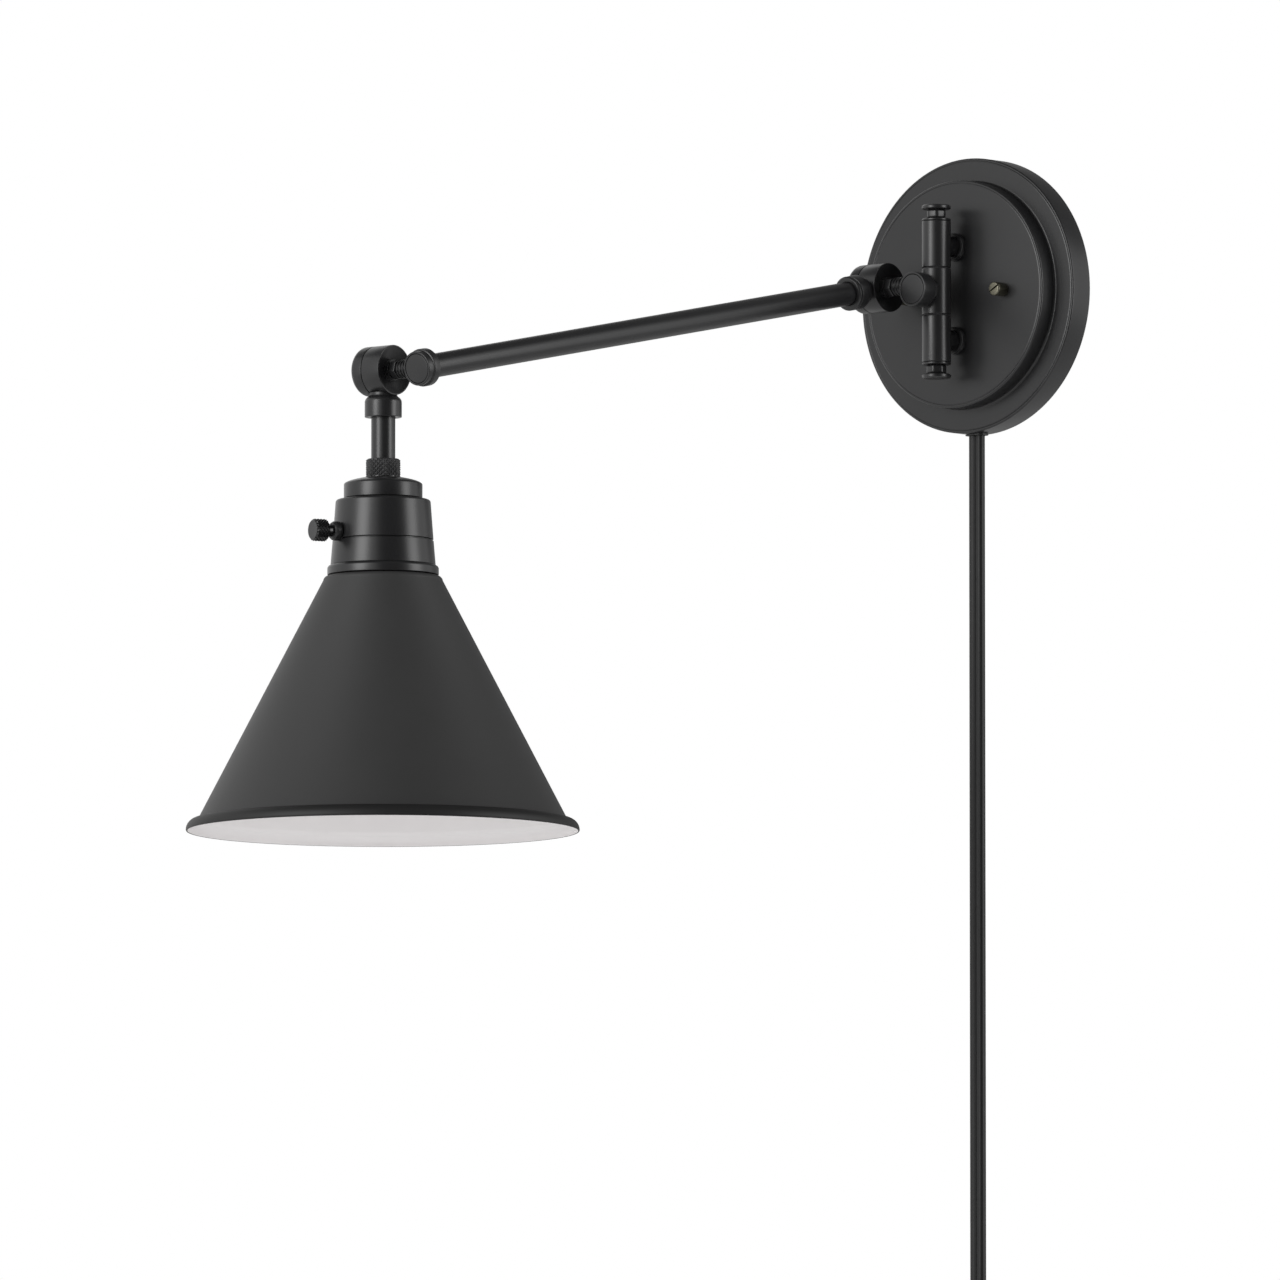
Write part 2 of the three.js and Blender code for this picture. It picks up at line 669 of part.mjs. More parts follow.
function drumCap() {
  const k = knuckle;
  const mouth = k.back - fit;
  const r = k.capShoulder;
  return sideways(
    revolve(
      [
        [0, k.capEnd],
        ...arc(k.radius - r, k.capEnd + r, r, -90, 0, 2),
        [k.radius, mouth],
        [k.spigotRadius + fit, mouth],
        [k.spigotRadius + fit, mouth - k.spigotLength - 0.4],
        [k.cavityRadius, mouth - k.spigotLength - 0.4],
        [k.cavityRadius, k.capEnd + 1.8],
        [0, k.capEnd + 1.8],
      ],
    ),
  );
}

// Collar that carries a tube: its neck is scribed to the drum and its tenon enters the drum's side socket.
function collarBody(profile, neckRadius, neckEnd, tubeStart, side) {
  const k = knuckle;
  const neck = rod(neckRadius, k.radius - 3, neckEnd + 0.5);
  const scribed = cut(aimed(join(neck, revolve(profile)), side), sideways(rod(k.radius + fit, -14, 14)));
  const tenon = rod(k.tenonRadius, k.radius - k.tenonDepth, k.radius + 2);
  return cut(join(scribed, aimed(tenon, side)), aimed(rod(arm.tubeRadius + fit, tubeStart - fit, 60), side));
}

// Stud, nut, washers and lock nut of one knuckle, with its drum's middle plane at `at`. `surface` is the
// radius of the piece that carries the stud.
function buildStud(parent, prefix, surface, at) {
  const k = knuckle;
  const seat = k.offset - surface - fit;
  const lockSeat = k.back - fit;
  const end = lockSeat - lockNut.thickness - 0.6;
  const body = revolve(
    [
      [0, end],
      [stud.radius, end],
      [stud.radius, stud.neckEnd],
      [stud.neckRadius, stud.neckEnd],
      [stud.neckRadius, seat],
      [stud.radius, seat],
      [stud.radius, k.offset - surface + stud.threadDepth],
      [0, k.offset - surface + stud.threadDepth],
    ],
  );
  const nutTop = stud.neckEnd - fit;
  const nutBottom = nutTop - hexNut.thickness;
  const { radius, grooveRadius } = washerStack;
  const stackTop = nutBottom - 0.1;
  const stackBottom = cupFloor + 0.1;
  const ring = (stackTop - stackBottom) / 3;
  const stack = revolve(
    [
      [stud.radius + fit, stackBottom],
      [radius, stackBottom],
      [radius, stackBottom + ring],
      [grooveRadius, stackBottom + ring],
      [grooveRadius, stackBottom + 2 * ring],
      [radius, stackBottom + 2 * ring],
      [radius, stackTop],
      [stud.radius + fit, stackTop],
    ],
  );
  const hex = (flats, from, to) => bored(prism(hexagon(flats), from, to), stud.radius + fit, from, to);
  piece(parent, `${prefix}_stud`, sideways(body, at), satinBlack);
  piece(parent, `${prefix}_nut`, sideways(hex(hexNut.acrossFlats, nutBottom, nutTop), at), satinBlack);
  piece(parent, `${prefix}_washers`, sideways(stack, at), satinBlack);
  piece(parent, `${prefix}_lock_nut`, sideways(hex(lockNut.acrossFlats, end + 0.6, lockSeat), at), zincSteel);
}

// ----------------------------------------------------------------------------------------------------
// Swivel: middle barrel of the hinge, with the stub that carries the shoulder knuckle
// ----------------------------------------------------------------------------------------------------

function buildSwivel(parent) {
  const swivel = group(parent, [0, -column.reach, 0]);
  const half = barrelHalf - thrustHalf;
  const { radius, reach, length, rootRadius } = stub;
  const recess = radius - endDisc.margin;
  const body = revolve(
    [
      [0, 0],
      [rootRadius, 0],
      [rootRadius, 6.5],
      [radius, reach - length],
      [radius, reach - 0.5],
      [radius - 0.5, reach],
      [recess, reach],
      [recess, reach - endDisc.thickness],
      [0, reach - endDisc.thickness],
    ],
  );
  const thread = rod(stud.radius + fit, radius - stud.threadDepth - 2 * fit, radius + 2);
  const threaded = aimed(thread, [-1, 0, 0], [0, -studOut, stub.studRise]);
  const pinBore = rod(column.pinRadius + fit, -half - 1, half + 1);
  const solid = join(rod(column.radius, -half, half), out(body));
  piece(swivel, "swivel_barrel", cut(solid, pinBore, threaded), satinBlack);
  piece(swivel, "swivel_end_disc", out(rod(recess - fit, reach - endDisc.thickness, reach)), satinBlack);
  buildStud(swivel, "shoulder", radius, shoulder);
  return swivel;
}

// ----------------------------------------------------------------------------------------------------
// Arm: in its own frame the tube runs along -Y and the group is turned down by the slope
// ----------------------------------------------------------------------------------------------------

function buildArm(swivel) {
  const joint = group(swivel, shoulder);
  const along = [0, -1, 0];
  joint.rotation.x = armSlope;
  piece(joint, "shoulder_drum", drumBody(along), satinBlack);
  piece(joint, "shoulder_cap", drumCap(), satinBlack);
  const { neckRadius, start, groove, end, radius } = armCollar;
  const collar = [
    [0, start],
    [radius - 1, start],
    [radius, start + 1],
    [radius, groove],
    [radius - 0.7, groove + 0.3],
    [radius - 0.7, groove + 0.7],
    [radius, groove + 1],
    [radius, end - 0.8],
    [radius - 0.8, end],
    [0, end],
  ];
  piece(joint, "arm_collar", collarBody(collar, neckRadius, start, arm.tubeStart, along), satinBlack);
  const tubeEnd = armLength + studSetback - armEnd.nose - armEnd.body - armEnd.taper + armEnd.socket;
  const bore = arm.tubeRadius - arm.tubeWall;
  piece(joint, "arm_tube", out(tube(bore, arm.tubeRadius, arm.tubeStart, tubeEnd)), satinBlack);

  const face = armLength + studSetback;
  const back = (distance) => face - distance;
  const bodyEnd = armEnd.nose + armEnd.body;
  const recess = armEnd.noseRadius - endDisc.margin;
  const fitting = revolve(
    [
      [0, back(endDisc.thickness)],
      [recess, back(endDisc.thickness)],
      [recess, face],
      [armEnd.noseRadius - 0.5, face],
      [armEnd.noseRadius, back(0.5)],
      [armEnd.noseRadius, back(armEnd.nose)],
      [armEnd.radius, back(armEnd.nose + 0.6)],
      ...[0, 0.33, 0.67, 1].map((t) => [
        armEnd.radius - (armEnd.radius - armEnd.tipRadius) * t ** 1.6,
        back(bodyEnd + armEnd.taper * t),
      ]),
      [0, back(bodyEnd + armEnd.taper)],
    ],
  );
  const thread = rod(stud.radius + fit, armEnd.radius - stud.threadDepth - 2 * fit, armEnd.radius + 2);
  const threadHole = aimed(thread, [-1, 0, 0], [0, -armLength, 0]);
  const socket = out(rod(arm.tubeRadius + fit, tubeEnd - 20, tubeEnd + fit));
  piece(joint, "arm_end_fitting", cut(out(fitting), threadHole, socket), satinBlack);
  piece(joint, "arm_end_disc", out(rod(recess - fit, back(endDisc.thickness), face)), satinBlack);
  const carrier = group(joint, [0, -armLength, 0]);
  buildStud(carrier, "elbow", armEnd.radius, [-knuckle.offset, 0, 0]);
  return joint;
}

// ----------------------------------------------------------------------------------------------------
// Head: profiles are [radius, distance down from the elbow axis]
// ----------------------------------------------------------------------------------------------------

function stemPieces(head) {
  const c = stemCollar;
  const collar = [
    [0, c.shoulder],
    [c.radius - 2.2, c.shoulder],
    [c.radius - 0.6, c.shoulder + 1.6],
    [c.radius, c.shoulder + c.rounding],
    [c.radius, c.end - 0.3],
    [c.radius - 0.3, c.end],
    [0, c.end],
  ];
  const body = collarBody(collar, c.neckRadius, c.shoulder, stem.tubeStart, [0, 0, -1]);
  piece(head, "stem_collar", body, satinBlack);
  const { tubeStart, nippleTop, nippleEnd, nippleRadius } = stem;
  const bore = arm.tubeRadius - arm.tubeWall * 2;
  const tubeBody = revolve(
    [
      [bore, tubeStart],
      [arm.tubeRadius, tubeStart],
      [arm.tubeRadius, nippleTop],
      [nippleRadius, nippleTop],
      [nippleRadius, nippleEnd],
      [bore - 1, nippleEnd],
      [bore - 1, nippleTop],
      [bore, nippleTop],
    ],
  );
  piece(head, "stem_tube", down(tubeBody), satinBlack);
  const n = knurledNut;
  const grip = gripped(n.radius, n.flutes, n.fluteDepth, n.top, n.end, n.chamfer);
  const tubeSeat = rod(arm.tubeRadius + fit, n.top - 1, nippleTop + fit);
  const nut = cut(grip, tubeSeat, rod(nippleRadius + fit, n.top, n.end + 1));
  piece(head, "stem_nut", down(nut), satinBlack);
}

function socketPieces(head) {
  const { sheet } = housing;
  const capBore = stem.nippleRadius + fit;
  const s = socketCap;
  const roof = knurledNut.end;
  const dome = s.roof.map(([radius, drop]) => [radius, roof + drop]);
  const cap = revolve(
    [
      [capBore, roof],
      ...dome,
      [s.radius, s.end],
      [s.spigotRadius, s.end],
      [s.spigotRadius, s.end + s.spigotLength],
      [s.spigotRadius - sheet, s.end + s.spigotLength],
      [s.spigotRadius - sheet, roof + s.roof.at(-1)[1] + sheet],
      [10, roof + sheet + 1],
      [capBore, roof + sheet + 1],
    ],
  );
  piece(head, "socket_cap", down(cap), satinBlack);

  const h = housing;
  const barrelRoom = rod(lampSwitch.barrelRadius + fit, 15, 40);
  const knobHole = aimed(barrelRoom, switchDirection, [0, 0, -lampSwitch.drop]);
  const spigot = 2.4;
  const upper = revolve(
    [
      [s.spigotRadius + fit, h.top],
      [s.radius - 0.4, h.top],
      [s.radius + 0.2, h.top + 0.7],
      ...arc(h.topRadius - h.shoulder, h.top + 0.7 + h.shoulder, h.shoulder, -80, 0, 2),
      [h.bottomRadius, h.bottom],
      [h.bottomRadius - sheet, h.bottom],
      [h.bottomRadius - sheet, h.bottom + spigot],
      [h.bottomRadius - 2 * sheet, h.bottom + spigot],
      [h.topRadius - 2 * sheet, h.top + 4],
      [s.spigotRadius + fit, h.top + 2.4],
    ],
  );
  piece(head, "socket_housing", cut(down(upper), knobHole), satinBlack);
  const f = fitter;
  const ringSeat = f.bottomRadius - sheet - fit;
  const lower = revolve(
    [
      [h.bottomRadius - sheet + fit, f.top],
      [h.bottomRadius + 0.1, f.top],
      [f.bottomRadius, f.bottom],
      [ringSeat, f.bottom],
      [ringSeat, f.bottom + f.lip],
      [ringSeat - sheet, f.bottom + f.lip],
      [h.bottomRadius - sheet + fit - 0.4, f.bottom - 1],
    ],
  );
  piece(head, "shade_fitter", down(lower), satinBlack);
  const r = shadeRing;
  const ring = revolve(
    [
      [ringSeat + fit, f.bottom],
      [r.radius - 1.6, f.bottom],
      ...arc(r.radius - 1.8, f.bottom + 2, 1.8, -60, 0, 2),
      [r.radius, r.bottom - 0.6],
      [r.radius - 0.5, r.bottom],
      [holder.skirtRadius + 3, r.bottom],
      [holder.skirtRadius + 3, f.bottom + f.lip + 1],
      [ringSeat + fit, f.bottom + f.lip + 1],
    ],
  );
  piece(head, "shade_ring", down(ring), satinBlack);
}

// Spun cone with an inward flange at the top and a curled lip at the mouth.
function shadeBody() {
  const { top, holeRadius, neckRadius, neckDrop, coneEnd, lipRadius, sheet } = shade;
  const start = top + 0.2;
  const rimRadius = neckRadius + coneRise;
  const skew = sheet * Math.hypot(1, shade.coneSlope); // the wall measured square to the axis
  const lipMiddle = [rimRadius + 1.2, coneEnd + lipRadius];
  const outside = arc(...lipMiddle, lipRadius, -100, -4, 3);
  const inside = arc(...lipMiddle, lipRadius - sheet, -8, -95, 2);
  return revolve(
    [
      [holeRadius, start],
      [neckRadius - 2.6, start],
      [neckRadius - 0.9, start + 0.7],
      [neckRadius, start + neckDrop],
      [rimRadius, coneEnd - 0.4],
      ...outside,
      [outside.at(-1)[0] - 0.2, lipMiddle[1] + 0.6],
      [outside.at(-1)[0] - 1.2, lipMiddle[1] + 0.8],
      ...inside,
      [rimRadius - skew, coneEnd - 0.4],
      [neckRadius - skew, start + neckDrop + 0.4],
      [neckRadius - 2.4 - sheet, start + sheet],
      [holeRadius, start + sheet],
    ],
  );
}

function lampHolderPieces(head) {
  const h = holder;
  const seat = shell.innerRadius + shell.sheet + fit;
  const body = revolve(
    [
      [0, h.bossTop],
      [h.bossRadius, h.bossTop],
      [h.bossRadius, h.top],
      [h.radius, h.top],
      [h.radius, h.skirtTop],
      [h.skirtRadius, h.skirtTop + 1],
      [h.skirtRadius, h.bottom],
      [seat, h.bottom],
      [seat, shell.top],
      [0, shell.top],
    ],
  );
  const nippleHole = down(rod(stem.nippleRadius + fit, h.bossTop - 1, stem.nippleEnd + fit));
  const barrelHole = aimed(
    rod(lampSwitch.barrelRadius + fit, lampSwitch.barrelStart - fit, 30),
    switchDirection,
    [0, 0, -lampSwitch.drop],
  );
  piece(head, "lamp_holder", cut(down(body), nippleHole, barrelHole), phenolic);
  const { innerRadius, sheet, top, bottom } = shell;
  const start = top + fit;
  const cup = [
    [6, start],
    [innerRadius + sheet, start],
    [innerRadius + sheet, bottom],
    [innerRadius, bottom],
    [innerRadius, start + sheet],
    [6, start + sheet],
  ];
  piece(head, "screw_shell", down(revolve(cup)), agedBrass);
  const contactTop = top + fit / 3;
  const button = rod(contact.radius, contactTop, contactTop + contact.thickness);
  piece(head, "centre_contact", down(button), agedBrass);
  const r = retainer;
  const ring = revolve(
    [
      [holder.skirtRadius + fit, r.top],
      [r.radius, r.top],
      [r.radius, r.top + 1.2],
      [holder.skirtRadius + 3.4, r.top + r.thickness],
      [holder.skirtRadius + fit, r.top + r.thickness],
    ],
  );
  piece(head, "shade_retaining_ring", down(ring), phenolic);
}

const switchDirection = (() => {
  const a = THREE.MathUtils.degToRad(lampSwitch.azimuth);
  return [-Math.sin(a), -Math.cos(a), 0];
})();

// Turn-knob switch: threaded barrel and nut on the head, knob and shaft on their own axis.
function buildSwitch(head) {
  const w = lampSwitch;
  const at = [0, 0, -w.drop];
  const nutEnd = w.seat + w.nutLength;
  const barrel = tube(w.shaftRadius + fit, w.barrelRadius, w.barrelStart, nutEnd);
  piece(head, "switch_barrel", aimed(barrel, switchDirection, at), agedBrass);
  const nut = revolve(
    [
      [w.barrelRadius + fit, w.seat],
      [w.nutRadius, w.seat],
      [w.nutRadius, nutEnd - 1.4],
      [w.nutRadius - 0.6, nutEnd],
      [w.barrelRadius + fit, nutEnd],
    ],
  );
  piece(head, "switch_nut", aimed(nut, switchDirection, at), satinBlack);
  const turning = group(head);
  const knobStart = nutEnd + fit + w.neckLength;
  const knobEnd = knobStart + w.knobLength;
  const shaft = revolve(
    [
      [0, w.barrelStart + 1.4],
      [w.shaftRadius, w.barrelStart + 1.4],
      [w.shaftRadius, nutEnd + fit],
      [w.neckRadius, nutEnd + fit],
      [w.neckRadius, knobStart + 1],
      [0, knobStart + 1],
    ],
  );
  const knob = join(gripped(w.knobRadius, w.knobFlutes, w.knobFluteDepth, knobStart, knobEnd, 0.8), shaft);
  piece(turning, "switch_knob", aimed(knob, switchDirection, at), satinBlack);
}

function buildHead(joint) {
  const head = group(joint, [-knuckle.offset, -armLength, 0]);
  head.rotation.x = -armSlope;
  piece(head, "elbow_drum", drumBody([0, 0, -1]), satinBlack);
  piece(head, "elbow_cap", drumCap(), satinBlack);
  stemPieces(head);
  socketPieces(head);
  piece(head, "shade", down(shadeBody()), matteBlack);
  lampHolderPieces(head);
  buildSwitch(head);
}

// ----------------------------------------------------------------------------------------------------

const sconce = new THREE.Group();
sconce.name = "swing_arm_sconce";
buildWallMount(sconce);
buildHead(buildArm(buildSwivel(sconce)));

export default sconce;
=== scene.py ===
"""Looks of a plug-in swing arm wall sconce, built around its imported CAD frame.

The fixture is turned and pressed brass and steel under a satin black powder coat. Every visible CAD solid,
which is faceted, is replaced here by a finely turned, knurled or pressed piece of the same size that rides on
the same body. Sizes in the classes are millimetres; meshes are in metres, in the frame of the CAD model: +X
right along the wall, -Y out into the room, +Z up.
"""

from __future__ import annotations

import json
import logging
import math
from collections.abc import Callable, Iterator, Sequence
from contextlib import contextmanager
from dataclasses import dataclass, field
from enum import Enum
from typing import Any

import bmesh
import bpy
from mathutils import Matrix, Vector

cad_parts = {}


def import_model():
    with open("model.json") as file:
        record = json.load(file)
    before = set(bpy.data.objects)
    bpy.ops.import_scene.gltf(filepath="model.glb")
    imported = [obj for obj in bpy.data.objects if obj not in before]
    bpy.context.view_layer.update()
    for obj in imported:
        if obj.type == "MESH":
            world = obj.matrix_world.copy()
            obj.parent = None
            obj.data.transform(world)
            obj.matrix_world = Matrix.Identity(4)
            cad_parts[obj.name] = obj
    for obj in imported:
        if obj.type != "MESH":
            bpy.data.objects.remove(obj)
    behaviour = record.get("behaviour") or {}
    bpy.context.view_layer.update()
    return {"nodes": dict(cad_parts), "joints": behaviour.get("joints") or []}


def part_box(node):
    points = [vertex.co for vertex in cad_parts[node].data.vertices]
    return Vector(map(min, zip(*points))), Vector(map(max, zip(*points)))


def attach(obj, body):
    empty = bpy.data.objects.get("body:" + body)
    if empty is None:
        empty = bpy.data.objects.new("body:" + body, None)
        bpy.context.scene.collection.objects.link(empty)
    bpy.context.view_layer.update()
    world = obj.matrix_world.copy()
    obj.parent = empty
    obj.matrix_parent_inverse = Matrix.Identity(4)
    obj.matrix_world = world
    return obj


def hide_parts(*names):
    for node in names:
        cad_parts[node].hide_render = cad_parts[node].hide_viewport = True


LOG = logging.getLogger("sconce")
MM = 0.001
KNURL_CREASE = 9.0  # degrees; edges of a knurl that turn by more stay crisp
PLAY = 0.3  # clearance where one piece turns or slides on another
SLIP = 0.15  # clearance of a piece that is pushed over a tube
WELD = 0.002  # points of a turned mesh closer than this become one
SHARP_TURN = 20.0  # degrees; corners of an outline that turn by less stay as they are
BEVEL_TURN = 38.0  # degrees; edges that turn by less aren't bevelled
WHITE = (1, 1, 1, 1)

Corner = tuple[float, ...]  # radius, height and, where it isn't the piece's own, the corner's easing
Place = tuple[float, float, float]  # azimuth, elevation and distance
Size = tuple[float, float]  # width and height
Object = bpy.types.Object

RIGHT = Vector((1, 0, 0))
OUT = Vector((0, -1, 0))
DOWN = Vector((0, 0, -1))
UP = Vector((0, 0, 1))


class Body(Enum):
    """The rigid bodies of the frame."""

    WALL_MOUNT = "wall_mount"
    SWIVEL = "swivel"
    ARM = "arm"
    HEAD = "head"
    SWITCH = "switch"


class Knurl(Enum):
    """Patterns rolled into a grip."""

    DIAMOND = "diamond"
    STRAIGHT = "straight"


# ---- Finishes ----


def linear(code: str) -> tuple[float, float, float, float]:
    """Turns an sRGB hex colour such as "#1f1f20" into linear RGBA.

    Args:
        code: The colour, a hash sign and six hex digits.

    Returns:
        Red, green, blue and an alpha of 1.
    """
    parts = [int(code[i : i + 2], 16) / 255 for i in (1, 3, 5)]
    rgb = [c / 12.92 if c <= 0.04045 else ((c + 0.055) / 1.055) ** 2.4 for c in parts]
    return (*rgb, 1.0)


def empty_tree(owner: bpy.types.Material | bpy.types.World) -> bpy.types.NodeTree:
    """Gives a material or a world a node tree with nothing in it.

    Args:
        owner: The material or the world.

    Returns:
        Its node tree.
    """
    owner.use_nodes = True
    owner.node_tree.nodes.clear()
    return owner.node_tree


def add_node(tree: bpy.types.NodeTree, kind: str, inputs: dict[str | int, Any], **settings: Any) -> Any:
    """Adds one node to a tree.

    Args:
        tree: The node tree.
        kind: The node's type, such as "BsdfPrincipled".
        inputs: For each input socket, a value, or the output socket that feeds it.
        settings: Attributes to set on the node.

    Returns:
        The new node.
    """
    node = tree.nodes.new(f"ShaderNode{kind}")
    for key, value in settings.items():
        setattr(node, key, value)
    for key, value in inputs.items():
        if isinstance(value, bpy.types.NodeSocket):
            tree.links.new(value, node.inputs[key])
        else:
            node.inputs[key].default_value = value
    return node


@dataclass(frozen=True)
class Finish:
    """What every finish has: its name, the record's slot and the numbers of its surface."""

    name: str
    slot: str
    colour: str
    tone: str  # the second colour that the first drifts towards
    roughness: float
    grain_mm: float  # size of the bumps
    bump_mm: float  # their height
    patch_mm: float = 30.0  # size of the patches in which colour and roughness drift
    roughness_drift: float = 0.05
    metallic: float = 0.0
    ior: float = 1.5

    def surface(self, tree: bpy.types.NodeTree, place: Any) -> dict[str | int, Any]:
        """Builds the patterns of the surface.

        Args:
            tree: The material's node tree.
            place: The output socket with Object coordinates.

        Returns:
            The inputs of the Principled shader.
        """
        drift, grit = 1 / (self.patch_mm * MM), 1 / (self.grain_mm * MM)
        cloudy = {"Vector": place, "Scale": drift, "Detail": 3.0, "Roughness": 0.6}
        patches = add_node(tree, "TexNoise", cloudy).outputs["Fac"]
        mixed = {0: patches, 6: linear(self.colour), 7: linear(self.tone)}
        colour = add_node(tree, "Mix", mixed, data_type="RGBA")
        dull, sharp = self.roughness + self.roughness_drift, self.roughness - self.roughness_drift
        gloss = add_node(tree, "MapRange", {"Value": patches, "To Min": sharp, "To Max": dull})
        grain = add_node(tree, "TexNoise", {"Vector": place, "Scale": grit, "Detail": 2.0}).outputs["Fac"]
        bump = add_node(tree, "Bump", {"Strength": 1.0, "Distance": self.bump_mm * MM, "Height": grain})
        return {
            "Base Color": colour.outputs[2],
            "Roughness": gloss.outputs[0],
            "Metallic": self.metallic,
            "IOR": self.ior,
            "Normal": bump.outputs[0],
        }

    def material(self) -> bpy.types.Material:
        """Makes the material, or finds it if it was made before.

        Returns:
            The material.
        """
        if self.name in bpy.data.materials:
            return bpy.data.materials[self.name]
        made = bpy.data.materials.new(self.name)
        tree = empty_tree(made)
        place = add_node(tree, "TexCoord", {}).outputs["Object"]
        shader = add_node(tree, "BsdfPrincipled", self.surface(tree, place))
        add_node(tree, "OutputMaterial", {"Surface": shader.outputs[0]})
        return made


# Polyester powder coat, sprayed and baked: an almost smooth satin film with a faint orange peel.
POWDER_COAT = Finish(
    "satin_black_powder_coat", "satin_black_metal", "#171718", "#1c1c1d", 0.32, 0.9, 0.01,
    roughness_drift=0.03,
)
# The same coat on the switch knob, painted darker as the shade that falls in the valleys of its knurl, and
# glossier.
KNOB_SHADE_COAT = Finish(
    "knob_coat_painted_shade", "satin_black_metal", "#0c0c0d", "#101011", 0.2, 0.9, 0.004, roughness_drift=0.03
)
# A knurled nut's coat, painted lighter as the sheen that the crests of its knurl catch; its surface is
# glossier too.
NUT_SHEEN_COAT = Finish(
    "nut_coat_painted_sheen", "satin_black_metal", "#262627", "#2c2c2d", 0.22, 0.9, 0.004, roughness_drift=0.03, ior=1.6
)
# The spun shade is sprayed with a flatter black, so its highlights spread out wide and soft.
MATTE_COAT = Finish(
    "matte_black_powder_coat", "matte_black_metal", "#262626", "#2a2a2a", 0.58, 0.7, 0.012,
    roughness_drift=0.03,
)
# Its curled lip, painted a deeper and flatter black as shade: a dark line round the mouth.
LIP_SHADE_COAT = Finish(
    "lip_coat_painted_shade", "matte_black_metal", "#0f0f0f", "#141414", 0.55, 0.7, 0.012, roughness_drift=0.03, ior=1.42
)
# Baked white enamel inside the shade: warm white and fairly glossy.
WHITE_ENAMEL = Finish("white_enamel", "matte_black_metal", "#f7f4f4", "#faf7f7", 0.32, 1.4, 0.01)
# Solid brass that has dulled to a pale grey-green gold.
AGED_BRASS = Finish("aged_brass", "brass", "#8d8a7a", "#45433a", 0.4, 0.3, 0.01, 0.8, 0.1, metallic=1.0)
# Clean yellow brass of the contacts, the shell and the blades.
BRIGHT_BRASS = Finish(
    "bright_brass", "brass", "#d2b268", "#c29f58", 0.25, 0.5, 0.003, 6.0, 0.06, metallic=1.0
)
# Zinc plate on pressed steel: pale grey with a faint crystal bloom.
ZINC_STEEL = Finish(
    "zinc_plated_steel", "zinc_steel", "#b4b8bb", "#a3a8ac", 0.38, 0.6, 0.006, 4.0, 0.08, metallic=1.0
)
# Injection-moulded thermoplastic from a spark-eroded mould: fine matte grain.
MOULDED_PLASTIC = Finish(
    "moulded_black_plastic", "black_plastic", "#181818", "#1d1d1d", 0.5, 0.25, 0.012, 12.0
)
# Extruded flexible PVC of the flat cord: smooth, slightly greasy sheen.
CORD_PVC = Finish("extruded_cord_pvc", "cord_pvc", "#0e0e0e", "#131313", 0.45, 0.5, 0.004, 15.0, ior=1.4)
# Nylon of the tie and the washers: dull, with a fine grain.
NYLON = Finish("black_nylon", "nylon", "#202022", "#2a2a2c", 0.7, 0.6, 0.06, 8.0)
# Compression-moulded phenolic of the lamp holder: dark brown, semi-gloss.
PHENOLIC = Finish("moulded_phenolic", "phenolic", "#1e1815", "#261e19", 0.4, 0.8, 0.006, 10.0)


# ---- Workshop: the ways in which pieces are made ----


def activate(obj: Object) -> None:
    """Selects one object alone and makes it the active one.

    Args:
        obj: The object.
    """
    bpy.ops.object.select_all(action="DESELECT")
    obj.select_set(True)
    bpy.context.view_layer.objects.active = obj


@contextmanager
def editing(obj: Object) -> Iterator[None]:
    """Opens an object's mesh in edit mode for the length of a with block.

    Args:
        obj: The object.
    """
    activate(obj)
    bpy.ops.object.mode_set(mode="EDIT")
    try:
        yield
    finally:
        bpy.ops.object.mode_set(mode="OBJECT")


def pick(obj: Object, wanted: Callable[[Vector], bool]) -> None:
    """Selects points of a mesh in edit mode.

    Args:
        obj: The object.
        wanted: Says of a point's place whether it is selected.
    """
    shape = bmesh.from_edit_mesh(obj.data)
    for vertex in shape.verts:
        vertex.select_set(wanted(vertex.co))
    shape.select_flush_mode()
    bmesh.update_edit_mesh(obj.data)


def frame_at(at: Vector, axis: Vector, turn: float = 0.0) -> Matrix:
    """A place for a piece that was made upright at the origin.

    Args:
        at: Where its origin goes, in metres.
        axis: Where its Z axis points.
        turn: Degrees that it is turned about its own axis first.

    Returns:
        The matrix of the place.
    """
    aim = axis.normalized().to_track_quat("Z", "Y").to_matrix().to_4x4()
    return Matrix.Translation(at) @ aim @ Matrix.Rotation(math.radians(turn), 4, "Z")


def settle(obj: Object, where: Matrix | None = None, smooth: float = 32.0) -> Object:
    """Puts a finished piece in its place, with the place in its mesh, and smooths its gentle edges.

    Args:
        obj: The piece, made at the origin.
        where: Its place, if that isn't the origin.
        smooth: Edges that turn by fewer degrees than this are smooth.

    Returns:
        The piece.
    """
    activate(obj)
    obj.matrix_world = Matrix.Identity(4) if where is None else where
    bpy.ops.object.transform_apply(location=True, rotation=True, scale=True)
    bpy.ops.object.shade_smooth_by_angle(angle=math.radians(smooth))
    return obj


def arc(radius: float, height: float, size: float, start: float, end: float, steps: int = 8) -> list[Corner]:
    """Points of an arc in an outline, which aren't eased any further.

    Args:
        radius: The centre's distance from the axis.
        height: The centre's height.
        size: The arc's own radius.
        start: The angle where it starts, in degrees from straight out.
        end: The angle where it ends.
        steps: How many stretches it has.

    Returns:
        The points.
    """
    turns = [math.radians(start + (end - start) * i / steps) for i in range(steps + 1)]
    return [(radius + size * math.cos(a), height + size * math.sin(a), 0.0) for a in turns]


def pipe(inner: float, outer: float, low: float, high: float, *easing: float) -> list[Corner]:
    """The outline of a plain pipe, or of a rod where the inner radius is 0.

    Args:
        inner: Its inner radius.
        outer: Its outer radius.
        low: Height of its lower end.
        high: Height of its upper end.
        easing: The easing of its two outer corners, if they have their own.

    Returns:
        The corners.
    """
    first, last = (easing[:1], easing[1:]) if easing else ((), ())
    return [(inner, low), (outer, low, *first), (outer, high, *last), (inner, high)]


